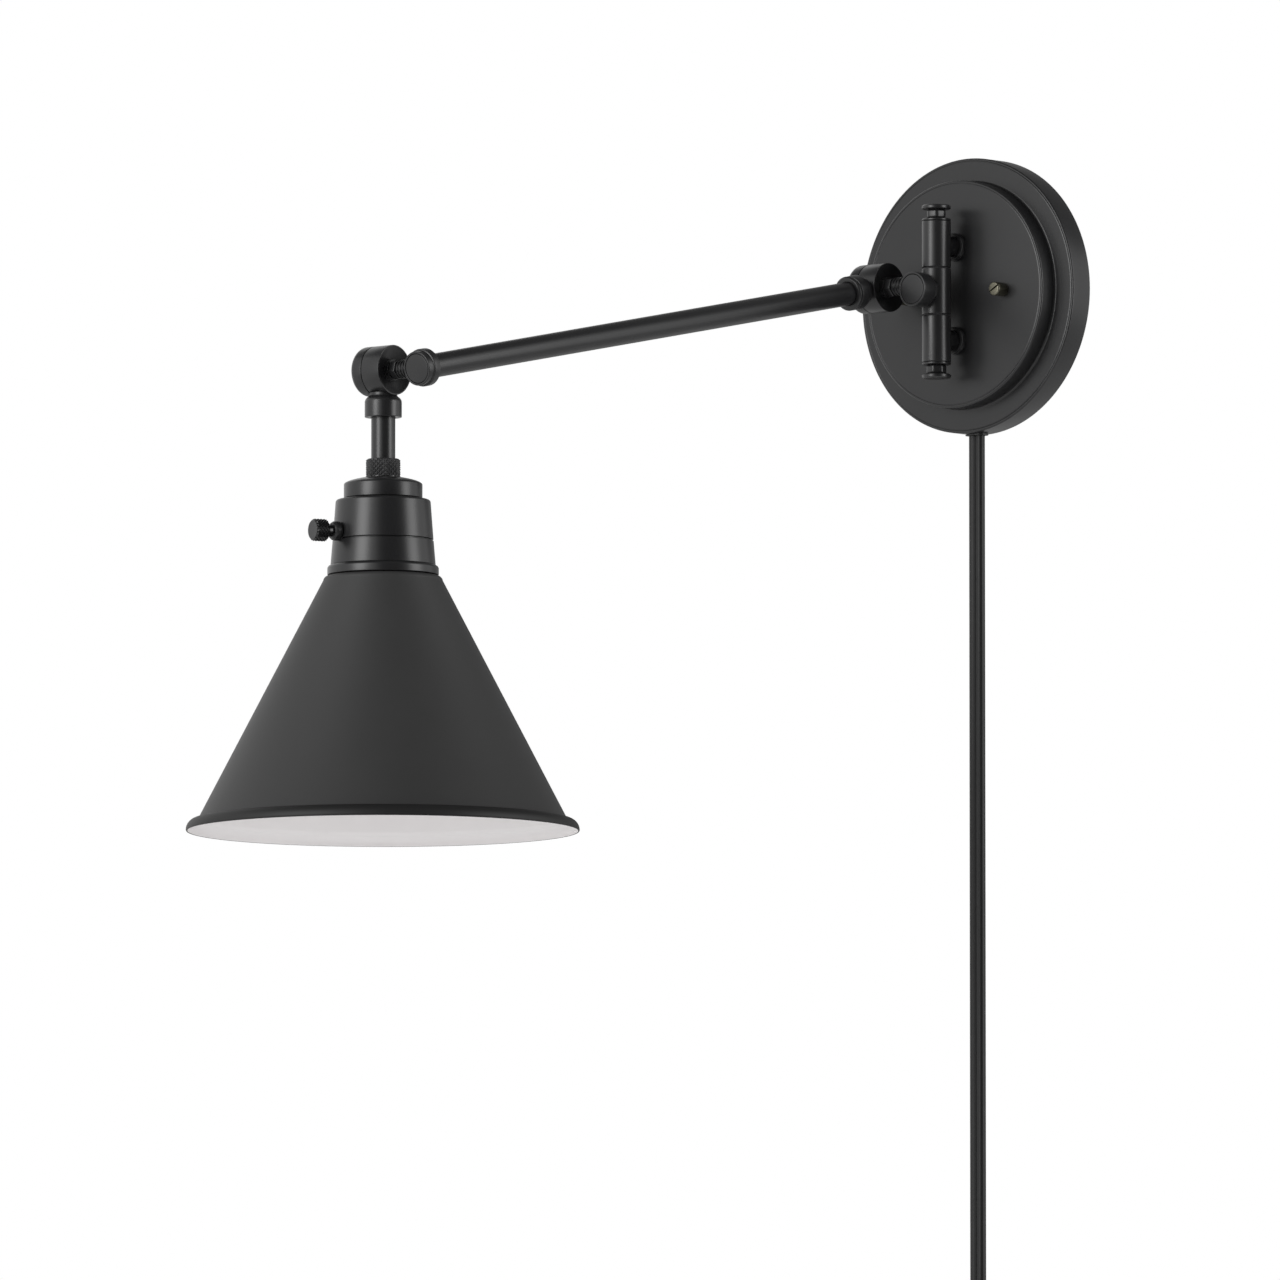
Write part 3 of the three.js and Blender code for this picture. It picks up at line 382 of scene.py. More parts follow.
def ringed(sizes: tuple[float, float], low: float, high: float, count: int, easing: float) -> list[Corner]:
    """The outline of rings of two sizes by turns, stacked up.

    Args:
        sizes: Radius of the odd rings and of the even ones.
        low: Height where the stack starts.
        high: Height where it ends.
        count: How many rings it has.
        easing: The easing of each ring's corners.

    Returns:
        The corners.
    """
    step = (high - low) / count
    return [(sizes[i % 2], low + step * (i + k), easing) for i in range(count) for k in (0, 1)]


def end_disc(recess: float, face: float, depth: float) -> list[Corner]:
    """The outline of a plain disc in the recess of an end face.

    Args:
        recess: Radius of the recess.
        face: Height of the end face.
        depth: Depth of the recess.

    Returns:
        The corners.
    """
    size = recess - 0.25
    return [(0, face - depth), (size, face - depth), (size, face - 0.1, 0.3), (0, face - 0.1)]


def eased(corners: Sequence[Corner], easing: float, loop: bool) -> list[Vector]:
    """Rounds the corners of an outline, as deburring and coating do.

    Args:
        corners: The outline's corners.
        easing: Radius of a corner that doesn't state its own.
        loop: Whether the outline closes on itself.

    Returns:
        The outline's points, [radius, height].
    """
    points: list[Vector] = []
    count = len(corners)
    for i, corner in enumerate(corners):
        here = Vector(corner[:2])
        size = corner[2] if len(corner) > 2 else easing
        before, after = Vector(corners[i - 1][:2]) - here, Vector(corners[(i + 1) % count][:2]) - here
        at_end = not loop and i in (0, count - 1)
        turn = 0.0 if at_end or not before.length or not after.length else math.pi - before.angle(after)
        if size <= 0 or turn < math.radians(SHARP_TURN):
            points.append(here)
            continue
        reach = min(size * math.tan(turn / 2), 0.45 * min(before.length, after.length))
        start, end = here + before.normalized() * reach, here + after.normalized() * reach
        steps = 2 if turn < 1 else 4
        for t in (k / steps for k in range(steps + 1)):
            points.append(start.lerp(here, t).lerp(here.lerp(end, t), t))
    return points


def turned(
    name: str, outline: Sequence[Corner], easing: float = 0.25, loop: bool = False, steps: int = 72
) -> Object:
    """Turns a piece as on a lathe: its outline is drawn stretch by stretch and spun about the Z axis.

    Args:
        name: The piece's name.
        outline: Its corners, [radius, height] in millimetres, from axis to axis, or a loop clear of the axis.
        easing: How far its corners are rounded.
        loop: Whether the outline closes on itself.
        steps: How many facets it has round the axis.

    Returns:
        The piece, upright at the origin.
    """
    bpy.ops.object.select_all(action="DESELECT")
    bpy.ops.mesh.primitive_circle_add(vertices=3, radius=MM)
    obj = bpy.context.object
    obj.name = obj.data.name = name
    points = [Vector((p.x, 0.0, p.y)) * MM for p in eased(outline, easing, loop)]
    with editing(obj):
        bpy.ops.mesh.merge(type="CENTER")
        bpy.ops.transform.translate(value=points[0])
        for before, after in zip(points, [*points[1:], points[0]] if loop else points[1:]):
            bpy.ops.mesh.extrude_region_move(TRANSFORM_OT_translate={"value": after - before})
        bpy.ops.mesh.select_all(action="SELECT")
        bpy.ops.mesh.spin(steps=steps, angle=math.tau, center=(0, 0, 0), axis=(0, 0, 1))
        bpy.ops.mesh.select_all(action="SELECT")
        bpy.ops.mesh.remove_doubles(threshold=WELD * MM)
        bpy.ops.mesh.normals_make_consistent(inside=False)
    return obj


def knurled(
    name: str, outline: Sequence[Corner], radius: float, pitch: float, depth: float, pattern: Knurl
) -> Object:
    """Turns a grip and rolls a knurl into its cylindrical band.

    Args:
        name: The piece's name.
        outline: Its corners; the band is the one upright stretch at the full radius.
        radius: The band's radius over the knurl.
        pitch: Distance from one crest to the next.
        depth: Depth of the knurl.
        pattern: What is rolled in.

    Returns:
        The piece, upright at the origin.
    """
    heights = [c[1] for c in outline if abs(c[0] - radius) < 1e-6]
    low, high = min(heights), max(heights)
    rows = max(2, round((high - low) / (pitch / 2))) if pattern is Knurl.DIAMOND else 1
    columns = 2 * round(math.tau * radius / pitch)
    root = radius - depth
    cut: list[Corner] = []
    for i, corner in enumerate(outline):
        if abs(corner[0] - radius) > 1e-6:
            cut.append(corner)
            continue
        cut.append((root, corner[1], 0.0))
        if abs(outline[(i + 1) % len(outline)][0] - radius) < 1e-6:
            step = (outline[(i + 1) % len(outline)][1] - corner[1]) / rows
            cut.extend((root, corner[1] + step * k, 0.0) for k in range(1, rows))

    def crest(place: Vector) -> bool:
        """Finds whether a point of the piece belongs on a crest of the knurl.

        Args:
            place: Where the point is.

        Returns:
            True if it does.
        """
        across, height = math.hypot(place.x, place.y) / MM, place.z / MM
        if abs(across - root) > 0.01 or not low - 0.01 < height < high + 0.01:
            return False
        column = round(math.atan2(place.y, place.x) / math.tau * columns)
        row = round((height - low) / (high - low) * rows) if pattern is Knurl.DIAMOND else 0
        return (column + row) % 2 == 0

    obj = turned(name, cut, 0.2, steps=columns)
    with editing(obj):
        bpy.ops.mesh.select_all(action="DESELECT")
        pick(obj, crest)
        bpy.ops.mesh.select_mode(type="VERT")
        grow = radius / root
        bpy.ops.transform.resize(value=(grow, grow, 1), center_override=(0, 0, 0))
        bpy.ops.mesh.select_all(action="SELECT")
        bpy.ops.mesh.quads_convert_to_tris(quad_method="SHORTEST_DIAGONAL")
    return obj


def modified(obj: Object, kind: str, **settings: Any) -> Object:
    """Gives a piece a modifier and applies it.

    Args:
        obj: The piece.
        kind: The modifier's type, such as "BEVEL".
        settings: Attributes to set on it.

    Returns:
        The piece.
    """
    activate(obj)
    modifier = obj.modifiers.new(kind.lower(), kind)
    for key, value in settings.items():
        setattr(modifier, key, value)
    bpy.ops.object.modifier_apply(modifier=modifier.name)
    return obj


def softened(obj: Object, width: float, segments: int = 2) -> Object:
    """Bevels a piece's hard edges.

    Args:
        obj: The piece.
        width: Width of the bevel in millimetres.
        segments: How many facets it has.

    Returns:
        The piece.
    """
    limit = {"limit_method": "ANGLE", "angle_limit": math.radians(BEVEL_TURN)}
    return modified(obj, "BEVEL", width=width * MM, segments=segments, **limit)


def blank(node: str) -> tuple[Object, Vector, Vector]:
    """A plain block as large as a CAD node, about the origin.

    Args:
        node: The node.

    Returns:
        The block, and the middle and the size of the node's box in metres.
    """
    low, high = (Vector(v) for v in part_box(node))
    size = high - low
    bpy.ops.object.select_all(action="DESELECT")
    bpy.ops.mesh.primitive_cube_add(size=1)
    obj = bpy.context.object
    obj.name = obj.data.name = f"{node}_fine"
    obj.scale = tuple(size)
    bpy.ops.object.transform_apply(location=False, rotation=False, scale=True)
    return obj, (low + high) / 2, size


def carved(obj: Object, cutter: Object) -> None:
    """Cuts one object's shape out of a piece and removes the cutter.

    Args:
        obj: The piece.
        cutter: The shape to cut out of it.
    """
    modified(obj, "BOOLEAN", operation="DIFFERENCE", object=cutter)
    bpy.data.objects.remove(cutter)


def hexagonal(
    name: str, across_flats: float, low: float, high: float, bore: float, easing: float = 0.35
) -> Object:
    """A hexagonal nut or neck with eased edges.

    Args:
        name: The piece's name.
        across_flats: Distance between opposite flats.
        low: Height of its lower face.
        high: Height of its upper face.
        bore: Radius of its hole, or 0.
        easing: Width of the bevel on its edges.

    Returns:
        The piece, upright at the origin.
    """
    outline = pipe(bore, across_flats / math.sqrt(3), low, high)
    return softened(turned(name, outline, 0.0, bool(bore), 6), easing, 4)


def joined(name: str, *parts: Object) -> Object:
    """Joins pieces that are one solid in the real thing.

    Args:
        name: The name of the whole.
        parts: The pieces.

    Returns:
        The whole.
    """
    activate(parts[0])
    for part in parts[1:]:
        part.select_set(True)
    bpy.ops.object.join()
    whole = bpy.context.object
    whole.name = whole.data.name = name
    return whole


def dress(obj: Object, body: Body, finish: Finish, *nodes: str) -> Object:
    """Gives a piece its finish and its place in the frame.

    Args:
        obj: The piece.
        body: The body that it rides on.
        finish: Its finish.
        nodes: The CAD nodes that it stands for.

    Returns:
        The piece.
    """
    if not obj.data.materials:
        obj.data.materials.append(finish.material())
    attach(obj, body.value)
    if nodes:
        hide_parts(*nodes)
    LOG.info("%s: %d faces on %s", obj.name, len(obj.data.polygons), body.value)
    return obj


@dataclass
class Assembly:
    """A sub-assembly at a joint of the frame.

    Attributes:
        at: The joint's place, in metres.
    """

    at: Vector

    def turn(
        self,
        node: str,
        outline: Sequence[Corner],
        axis: Vector,
        body: Body,
        finish: Finish = POWDER_COAT,
        at: Vector | None = None,
        **options: Any,
    ) -> Object:
        """Turns a piece, puts it in its place and dresses it for the node of the same name.

        Args:
            node: The CAD node that it stands for.
            outline: Its outline.
            axis: Where its axis points.
            body: The body that it rides on.
            finish: Its finish.
            at: Its origin, if that isn't the joint.
            options: More for turned().

        Returns:
            The piece.
        """
        made = turned(f"{node}_fine", outline, **options)
        return dress(settle(made, frame_at(self.at if at is None else at, axis)), body, finish, node)


# ---- Wall mount ----


@dataclass
class Canopy(Assembly):
    """The pressed canopy on the wall and its two screws."""

    radius: float = 76.2
    rim_depth: float = 14.8
    tier_radius: float = 63.0
    depth: float = 26.0
    recess: float = 0.8
    groove: tuple[float, float] = (0.5, 0.2)  # half its width, and its depth
    crest: float = 0.35
    sheet: float = 1.6
    screw_radius: float = 3.8
    screw_length: float = 8.3
    shank_radius: float = 2.0
    slot: tuple[float, float] = (1.0, 1.3)
    slot_tilt: float = 30.0

    def outline(self) -> list[Corner]:
        """The section of the pressing, from the middle of its face round to the middle of its back.

        Returns:
            The corners.
        """
        face, step, inner = self.depth - self.recess, self.rim_depth - 0.4, self.tier_radius - self.sheet
        return [
            (0, face), *self.edge(self.tier_radius, face), (self.tier_radius, step, 1.4),
            *self.edge(self.radius, step), (self.radius, 0, 0.3), (self.radius - self.sheet, 0, 0.3),
            (self.radius - self.sheet, step - self.sheet, 1.0), (inner, step - self.sheet, 1.0),
            (inner, face - self.sheet, 1.0), (0, face - self.sheet),
        ]

    def edge(self, radius: float, height: float) -> list[Corner]:
        """The front edge of a step: a shallow groove, a narrow crest and a small rounding.

        Args:
            radius: The step's radius.
            height: The height of its face.

        Returns:
            The corners from the face to the wall.
        """
        half, depth = self.groove
        rounding = 0.9
        crest = radius - rounding
        outer = crest - self.crest
        return [
            (outer - 2 * half, height, 0.15), (outer - half, height - depth, 0.1),
            (outer, height + 0.1, 0.15), *arc(crest, height + 0.1 - rounding, rounding, 90, 0, 6),
        ]

    def screw(self, node: str) -> Object:
        """Builds one slotted screw where its node is.

        Args:
            node: Its node.

        Returns:
            The piece.
        """
        low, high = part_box(node)
        face = self.depth - self.recess
        tip = face + self.screw_length
        outline = [
            (0, 0.6), (self.shank_radius, 0.6), (self.shank_radius, face), (self.screw_radius, face),
            *arc(self.screw_radius - 0.9, tip - 0.9, 0.9, 0, 90, 5), (0, tip),
        ]
        body = turned(f"{node}_fine", outline, 0.15, steps=48)
        bpy.ops.object.select_all(action="DESELECT")
        bpy.ops.mesh.primitive_cube_add(size=1)
        cutter = bpy.context.object
        cutter.scale = (self.screw_radius * 3 * MM, self.slot[0] * MM, self.slot[1] * 2 * MM)
        cutter.location = (0, 0, tip * MM)
        cutter.rotation_euler.z = math.radians(self.slot_tilt)
        carved(body, cutter)
        middle = Vector(((low[0] + high[0]) / 2, 0, (low[2] + high[2]) / 2))
        return dress(settle(body, frame_at(middle, OUT)), Body.WALL_MOUNT, AGED_BRASS, node)

    def build(self) -> None:
        """Builds the canopy and its screws."""
        self.turn("canopy", self.outline(), OUT, Body.WALL_MOUNT, steps=160)
        for side in ("left", "right"):
            self.screw(f"canopy_screw_{side}")


@dataclass
class Hinge(Assembly):
    """The vertical three-barrel hinge: fixed barrels, rosettes, spools and the swivel between them."""

    radius: float = 8.0
    half_barrel: float = 13.0
    gap: float = 0.4
    top: float = 39.0
    bracket_height: float = 26.0
    reach: float = 40.8
    canopy_face: float = 25.2
    rosette: tuple[float, float] = (7.7, 3.0)
    boss_radius: float = 5.6
    nipple: tuple[float, float] = (4.6, 22.2)
    nipple_bore: float = 3.0
    pin_radius: float = 3.0
    collar: float = 1.5
    neck: float = 5.1
    neck_flats: float = 10.2
    disc: float = 2.4
    flutes: tuple[float, float] = (1.1, 0.12)  # pitch and depth
    stub_radius: float = 9.5
    stub_reach: float = 21.0
    stub_length: float = 9.6
    stub_root: float = 6.6
    disc_depth: float = 1.4
    disc_margin: float = 1.2

    def barrel(self, low: float, high: float, easing: float) -> Object:
        """Turns one barrel.

        Args:
            low: Height of its lower end.
            high: Height of its upper end.
            easing: The easing of its upper edge.

        Returns:
            The piece.
        """
        outline = pipe(self.pin_radius + PLAY, self.radius, low, high, 0.35, easing)
        return settle(turned("barrel", outline, loop=True))

    def bracket(self, side: int, node: str) -> Object:
        """Builds a fixed barrel with its boss and nipple.

        Args:
            side: 1 for the upper one and -1 for the lower one.
            node: Its node.

        Returns:
            The piece.
        """
        low, high = sorted(side * z for z in (self.half_barrel + self.gap, self.top))
        barrel = self.barrel(low, high, 0.5)
        seat = self.reach - self.canopy_face - self.rosette[1]
        boss = turned(
            "boss",
            [
                (self.nipple_bore, seat - 3), (self.boss_radius + 1.2, 4, 0.0),
                (self.boss_radius, 8.4, 1.5), (self.boss_radius, seat), (self.nipple[0], seat),
                (self.nipple[0], self.nipple[1]), (self.nipple_bore, self.nipple[1]),
            ],
            loop=True,
            steps=48,
        )
        settle(boss, frame_at(Vector((0, 0, side * self.bracket_height * MM)), -OUT))
        whole = joined(f"{node}_fine", barrel, boss)
        return dress(settle(whole, Matrix.Translation(self.at)), Body.WALL_MOUNT, POWDER_COAT, node)

    def spool(self, side: int, node: str) -> Object:
        """Builds the turned spool on one end of the pin.

        Args:
            side: 1 for the upper one and -1 for the lower one.
            node: Its node.

        Returns:
            The piece.
        """
        r, end, start = self.radius, self.collar, self.collar + self.neck
        top = start + self.disc
        collar = [(0, 0), (r - 0.5, 0), (r, 0.4), (r, end - 0.4), (r - 0.5, end), (0, end)]
        disc = [(0, start), (r - 0.7, start), (r, start + 0.5), (r, top - 0.6), (r - 0.7, top, 0.4), (0, top)]
        parts = [knurled("fluted", outline, r, *self.flutes, Knurl.STRAIGHT) for outline in (collar, disc)]
        parts.append(hexagonal("neck", self.neck_flats, end - 0.2, start + 0.2, 0, easing=1.5))
        for part in parts:
            settle(part)
        whole = joined(f"{node}_fine", *parts)
        at = self.at + UP * side * self.top * MM
        return dress(settle(whole, frame_at(at, UP * side, 12)), Body.WALL_MOUNT, POWDER_COAT, node)

    def swivel(self) -> None:
        """Builds the middle barrel with its stub, and the disc in the stub's end."""
        half = self.half_barrel - self.gap
        barrel = self.barrel(-half, half, 0.35)
        recess, reach = self.stub_radius - self.disc_margin, self.stub_reach
        stub = turned(
            "stub",
            [
                (0, 4), (self.stub_root, 4, 0), (self.stub_root, 6.8, 2.0),
                (self.stub_radius - 0.5, reach - self.stub_length - 0.4, 1.2),
                (self.stub_radius, reach - self.stub_length + 0.4, 0.5), (self.stub_radius, reach, 0.5),
                (recess, reach, 0.2), (recess, reach - self.disc_depth), (0, reach - self.disc_depth),
            ],
        )
        settle(stub, frame_at(Vector(), OUT))
        whole = joined("swivel_barrel_fine", barrel, stub)
        dress(settle(whole, Matrix.Translation(self.at)), Body.SWIVEL, POWDER_COAT, "swivel_barrel")
        self.turn("swivel_end_disc", end_disc(recess, reach, self.disc_depth), OUT, Body.SWIVEL)

    def build(self) -> None:
        """Builds every piece of the hinge."""
        r, thickness = self.rosette
        bore = self.nipple[0] + PLAY
        ring = [
            (bore, 0), (r, 0, 0.2), (r, 0.8, 0.2), (r - 0.5, 1.1, 0.1), (r, 1.4, 0.2), (r, 2.0, 0.2),
            (r - 0.6, 2.3, 0.1), (r - 0.6, thickness, 0.3), (self.boss_radius + 0.7, thickness, 0.3),
            (bore, thickness),
        ]
        for name, side in (("upper", 1), ("lower", -1)):
            self.bracket(side, f"{name}_bracket")
            self.spool(side, f"{name}_finial")
            seat = Vector((self.at.x, -self.canopy_face * MM, self.at.z + side * self.bracket_height * MM))
            self.turn(f"{name}_rosette", ring, OUT, Body.WALL_MOUNT, at=seat, loop=True, steps=64)
        self.swivel()


# ---- Knuckles ----


@dataclass
class Knuckle(Assembly):
    """A friction knuckle. Lengths run along its stud, +X, from the middle plane of the drum.

    Attributes:
        name: The first word of its nodes' names.
        holder: The body that carries the stud.
        turning: The body that the drum belongs to.
        surface: Radius of the piece where the stud leaves it.
    """

    name: str = ""
    holder: Body = Body.SWIVEL
    turning: Body = Body.ARM
    surface: float = 9.5
    offset: float = 31.0
    radius: float = 13.5
    cup_face: float = 8.2
    dish_depth: float = 3.0
    dish_floor: float = 5.0
    cup_rim: float = 0.7
    back: float = -4.1
    cap_end: float = -13.0
    cap_shoulder: float = 3.6
    stud_radius: float = 3.0
    neck: tuple[float, float] = (4.5, 5.2)  # at its grooves and at its ridges
    neck_end: float = 12.6
    nut_flats: float = 9.8
    nut_length: float = 4.2
    washer: tuple[float, float] = (5.6, 4.7)
    neck_rings: int = 10  # grooves and ridges together
    washers: int = 5  # large and small by turns

    def build(self) -> None:
        """Builds the drum, its cap, the stud, the nut and the washers."""
        r, lip, floor = self.radius, self.radius - self.cup_rim, self.cup_face - self.dish_depth
        bore = self.stud_radius + PLAY
        dish = [
            (self.dish_floor + (lip - self.dish_floor) * t / 8, floor + self.dish_depth * (t / 8) ** 1.4, 0)
            for t in range(8)
        ]
        drum = [
            (bore, floor), *dish, (lip, self.cup_face, 0.2), (r, self.cup_face, 0.3), (r, self.back, 0.35),
            (r - 3, self.back), (bore, self.back),
        ]
        self.turn(f"{self.name}_drum", drum, RIGHT, self.turning, loop=True, steps=96)
        cap = [
            (0, self.cap_end),
            *arc(r - self.cap_shoulder, self.cap_end + self.cap_shoulder, self.cap_shoulder, -90, 0, 10),
            (r, self.back - 0.35, 0.35), (0, self.back - 0.35),
        ]
        self.turn(f"{self.name}_cap", cap, RIGHT, self.turning, steps=96)
        seat = self.offset - self.surface + 1.5
        stud = [
            (0, self.back), (self.stud_radius, self.back), (self.stud_radius, self.neck_end),
            *ringed(self.neck, self.neck_end, seat, self.neck_rings, 0.25), (0, seat),
        ]
        self.turn(f"{self.name}_stud", stud, RIGHT, self.holder, steps=48)
        nut_top = self.neck_end - 0.2
        nut_foot = nut_top - self.nut_length
        nut = hexagonal(f"{self.name}_nut_fine", self.nut_flats, nut_foot, nut_top, self.stud_radius)
        settle(nut, frame_at(self.at, RIGHT, 15))
        dress(nut, self.holder, POWDER_COAT, f"{self.name}_nut")
        top, bottom = nut_foot - 0.1, floor + 0.1
        rings = ringed(self.washer, bottom, top, self.washers, 0.12)
        stack = [(self.stud_radius, bottom), *rings, (self.stud_radius, top)]
        self.turn(f"{self.name}_washers", stack, RIGHT, self.holder, loop=True, steps=48)


# ---- Arm ----


@dataclass
class Arm(Assembly):
    """The tube between the knuckles. Distances run along it from the shoulder axis.

    Attributes:
        elbow: The elbow joint's place.
    """

    elbow: Vector = field(default_factory=Vector)
    tube_radius: float = 6.5
    tube_wall: float = 1.2
    tube_start: float = 19.5
    collar_radius: float = 9.5
    collar_neck: float = 6.2
    collar_start: float = 17.4
    collar_groove: float = 24.4
    collar_end: float = 27.0
    drum_radius: float = 13.5
    face_beyond: float = 8.0  # from the elbow axis to the end face
    nose_radius: float = 9.3
    nose: float = 3.6
    body_radius: float = 10.2
    body: float = 4.4
    taper: float = 2.4
    tip_radius: float = 7.3
    disc_depth: float = 1.4
    disc_margin: float = 1.2
    tube_overlap: float = 3.0  # how far the tube runs into the end fitting

    def build(self) -> None:
        """Builds the collar, the tube and the end fitting."""
        reach = self.elbow - self.at
        reach.x = 0
        length, along = reach.length / MM, reach.normalized()
        r, bore, foot = self.collar_radius, self.tube_radius + SLIP, self.drum_radius - 1.2
        collar = [
            (bore, foot), (self.collar_neck + 0.6, foot, 0),
            (self.collar_neck + 0.6, self.collar_start - 0.2, 0.5), (r - 0.8, self.collar_start, 0.5),
            (r, self.collar_start + 0.9, 0.6), (r, self.collar_groove, 0.25),
            (r - 0.7, self.collar_groove + 0.3, 0.2), (r - 0.7, self.collar_groove + 0.7, 0.2),
            (r, self.collar_groove + 1.0, 0.25), (r, self.collar_end - 0.7, 0.5),
            (r - 0.8, self.collar_end, 0.3), (bore, self.collar_end),
        ]
        self.turn("arm_collar", collar, along, Body.ARM, loop=True, steps=80)
        face = length + self.face_beyond
        tip = face - self.nose - self.body - self.taper
        inner = self.tube_radius - self.tube_wall
        tube = pipe(inner, self.tube_radius, self.tube_start, tip + self.tube_overlap)
        self.turn("arm_tube", tube, along, Body.ARM, loop=True, steps=64)
        recess = self.nose_radius - self.disc_margin
        shoulder = face - self.nose - self.body
        shrink = self.body_radius - self.tip_radius
        sweep = [
            (self.body_radius - shrink * math.sin(a), shoulder - self.taper * (1 - math.cos(a)), 0)
            for a in (k * math.pi / 16 for k in range(1, 9))
        ]
        fitting = [
            (0, face - self.disc_depth), (recess, face - self.disc_depth), (recess, face, 0.2),
            (self.nose_radius, face, 0.5), (self.nose_radius, face - self.nose, 0.3),
            (self.body_radius, face - self.nose - 0.2, 0.5), (self.body_radius, shoulder, 0.6), *sweep,
            (0, tip),
        ]
        self.turn("arm_end_fitting", fitting, along, Body.ARM, steps=80)
        self.turn("arm_end_disc", end_disc(recess, face, self.disc_depth), along, Body.ARM)


# ---- Head ----


@dataclass
class Stem(Assembly):
    """Collar, tube and knurled nut below the elbow. Distances run down from the elbow axis."""

    tube_radius: float = 6.5
    tube_start: float = 17.0
    tube_end: float = 54.4
    tube_bore: float = 3.9
    nipple_radius: float = 4.8
    nipple_bore: float = 2.9
    nipple_end: float = 77.6
    collar_radius: float = 10.0
    collar_neck: float = 6.2
    collar_shoulder: float = 13.8
    collar_end: float = 25.2
    drum_radius: float = 13.5
    nut_top: float = 47.7
    nut_end: float = 57.7
    nut_radius: float = 9.4
    knurl: tuple[float, float] = (2.6, 0.6)  # pitch and depth
    rounding: float = 3.4

    def build(self) -> None:
        """Builds the stem."""
        r, rounding = self.collar_radius, self.rounding
        bore, foot = self.tube_radius + SLIP, self.drum_radius - 1.5
        collar = [
            (bore, foot), (self.collar_neck + 1.4, foot, 0),
            (self.collar_neck + 1.4, self.collar_shoulder - 0.4, 0.4),
            (r - rounding + 1.2, self.collar_shoulder, 0.4),
            *arc(r - rounding, self.collar_shoulder + rounding, rounding, -62, 0, 8),
            (r, self.collar_end, 0.4), (bore, self.collar_end),
        ]
        self.turn("stem_collar", collar, DOWN, Body.HEAD, loop=True, steps=80)
        tube = [
            (self.tube_bore, self.tube_start), (self.tube_radius, self.tube_start),
            (self.tube_radius, self.tube_end), (self.nipple_radius, self.tube_end),
            (self.nipple_radius, self.nipple_end), (self.nipple_bore, self.nipple_end),
        ]
        self.turn("stem_tube", tube, DOWN, Body.HEAD, loop=True, steps=64)
        n, top, end = self.nut_radius, self.nut_top, self.nut_end
        outline = [
            (bore, top), (n - 0.9, top, 0.3), (n, top + 0.9), (n, end - 0.6), (n - 0.6, end), (bore, end),
        ]
        nut = knurled("stem_nut_fine", outline, n, *self.knurl, Knurl.DIAMOND)
        settle(nut, frame_at(self.at, DOWN), KNURL_CREASE)
        # The nut's coat is painted lighter as the sheen of its knurl.
        dress(nut, Body.HEAD, NUT_SHEEN_COAT, "stem_nut")


@dataclass
class Socket(Assembly):
    """Turned housing of the lamp holder. Distances run down from the elbow axis."""

    roof: float = 57.7
    roof_radius: float = 10.0
    cap_radius: float = 21.15
    cap_shoulder: float = 3.9
    cap_hole: float = 5.1
    cap_inset: float = 2.4  # from the cap's wall to the skirt below it
    cap_end: float = 68.9
    top: float = 69.2
    top_radius: float = 25.6
    shoulder: float = 1.6
    bottom: float = 91.2
    bottom_radius: float = 27.1
    ring_end: float = 105.0
    ring_radius: float = 28.3
    bead_radius: float = 30.0
    bead_bore: float = 20.4
    bead_end: float = 110.7
    sheet: float = 1.5

    def build(self) -> None:
        """Builds the cap, the housing, the tapered ring and the bead."""
        sheet = self.sheet
        flat, skirt = self.cap_radius - self.roof_radius, self.cap_radius - self.cap_inset
        dome = [
            (self.cap_radius - flat * (1 - t / 8) ** 2, self.roof + self.cap_shoulder * t / 8, 0)
            for t in range(9)
        ]
        cap = [
            (self.cap_hole, self.roof), *dome, (self.cap_radius, self.cap_end, 0.3),
            (skirt, self.cap_end + 0.4), (skirt, self.cap_end + 3), (skirt - sheet, self.cap_end + 3),
            (skirt - sheet, self.roof + self.cap_shoulder + sheet, 1),
            (self.cap_hole, self.roof + sheet + 1),
        ]
        self.turn("socket_cap", cap, DOWN, Body.HEAD, loop=True, steps=96)
        body = [
            (self.cap_radius - 2, self.top), (self.cap_radius + 0.2, self.top, 0.2),
            (self.cap_radius + 0.6, self.top + 0.5, 0.2),
            *arc(self.top_radius - self.shoulder, self.top + 0.5 + self.shoulder, self.shoulder, -80, -6, 8),
            (self.bottom_radius, self.bottom, 0.25), (self.bottom_radius - sheet, self.bottom),
            (self.bottom_radius - sheet, self.bottom + 2.4),
            (self.bottom_radius - 2 * sheet, self.bottom + 2.4),
            (self.top_radius - 2 * sheet, self.top + 4, 1), (self.cap_radius - 2, self.top + 2.4),
        ]
        self.turn("socket_housing", body, DOWN, Body.HEAD, loop=True, steps=96)
        seat = self.ring_radius - sheet - 0.3
        ring = [
            (self.bottom_radius - sheet + 0.3, self.bottom + 0.8),
            (self.bottom_radius + 0.1, self.bottom + 0.8, 0.25), (self.ring_radius, self.ring_end, 0.15),
            (seat, self.ring_end), (seat, self.ring_end + 3), (seat - sheet, self.ring_end + 3),
            (self.bottom_radius - sheet - 0.1, self.ring_end - 1),
        ]
        self.turn("shade_fitter", ring, DOWN, Body.HEAD, loop=True, steps=96)
        b = self.bead_radius
        bead = [
            (seat + 0.3, self.ring_end + 0.05), (self.ring_radius + 0.1, self.ring_end + 0.05, 0.2),
            *arc(b - 1.9, self.ring_end + 2.1, 1.9, -70, 0, 7), (b, self.bead_end - 0.4, 0.4),
            (b - 1, self.bead_end, 0.2), (self.bead_bore, self.bead_end),
            (self.bead_bore, self.ring_end + 4), (seat + 0.3, self.ring_end + 4),
        ]
        self.turn("shade_ring", bead, DOWN, Body.HEAD, loop=True, steps=96)


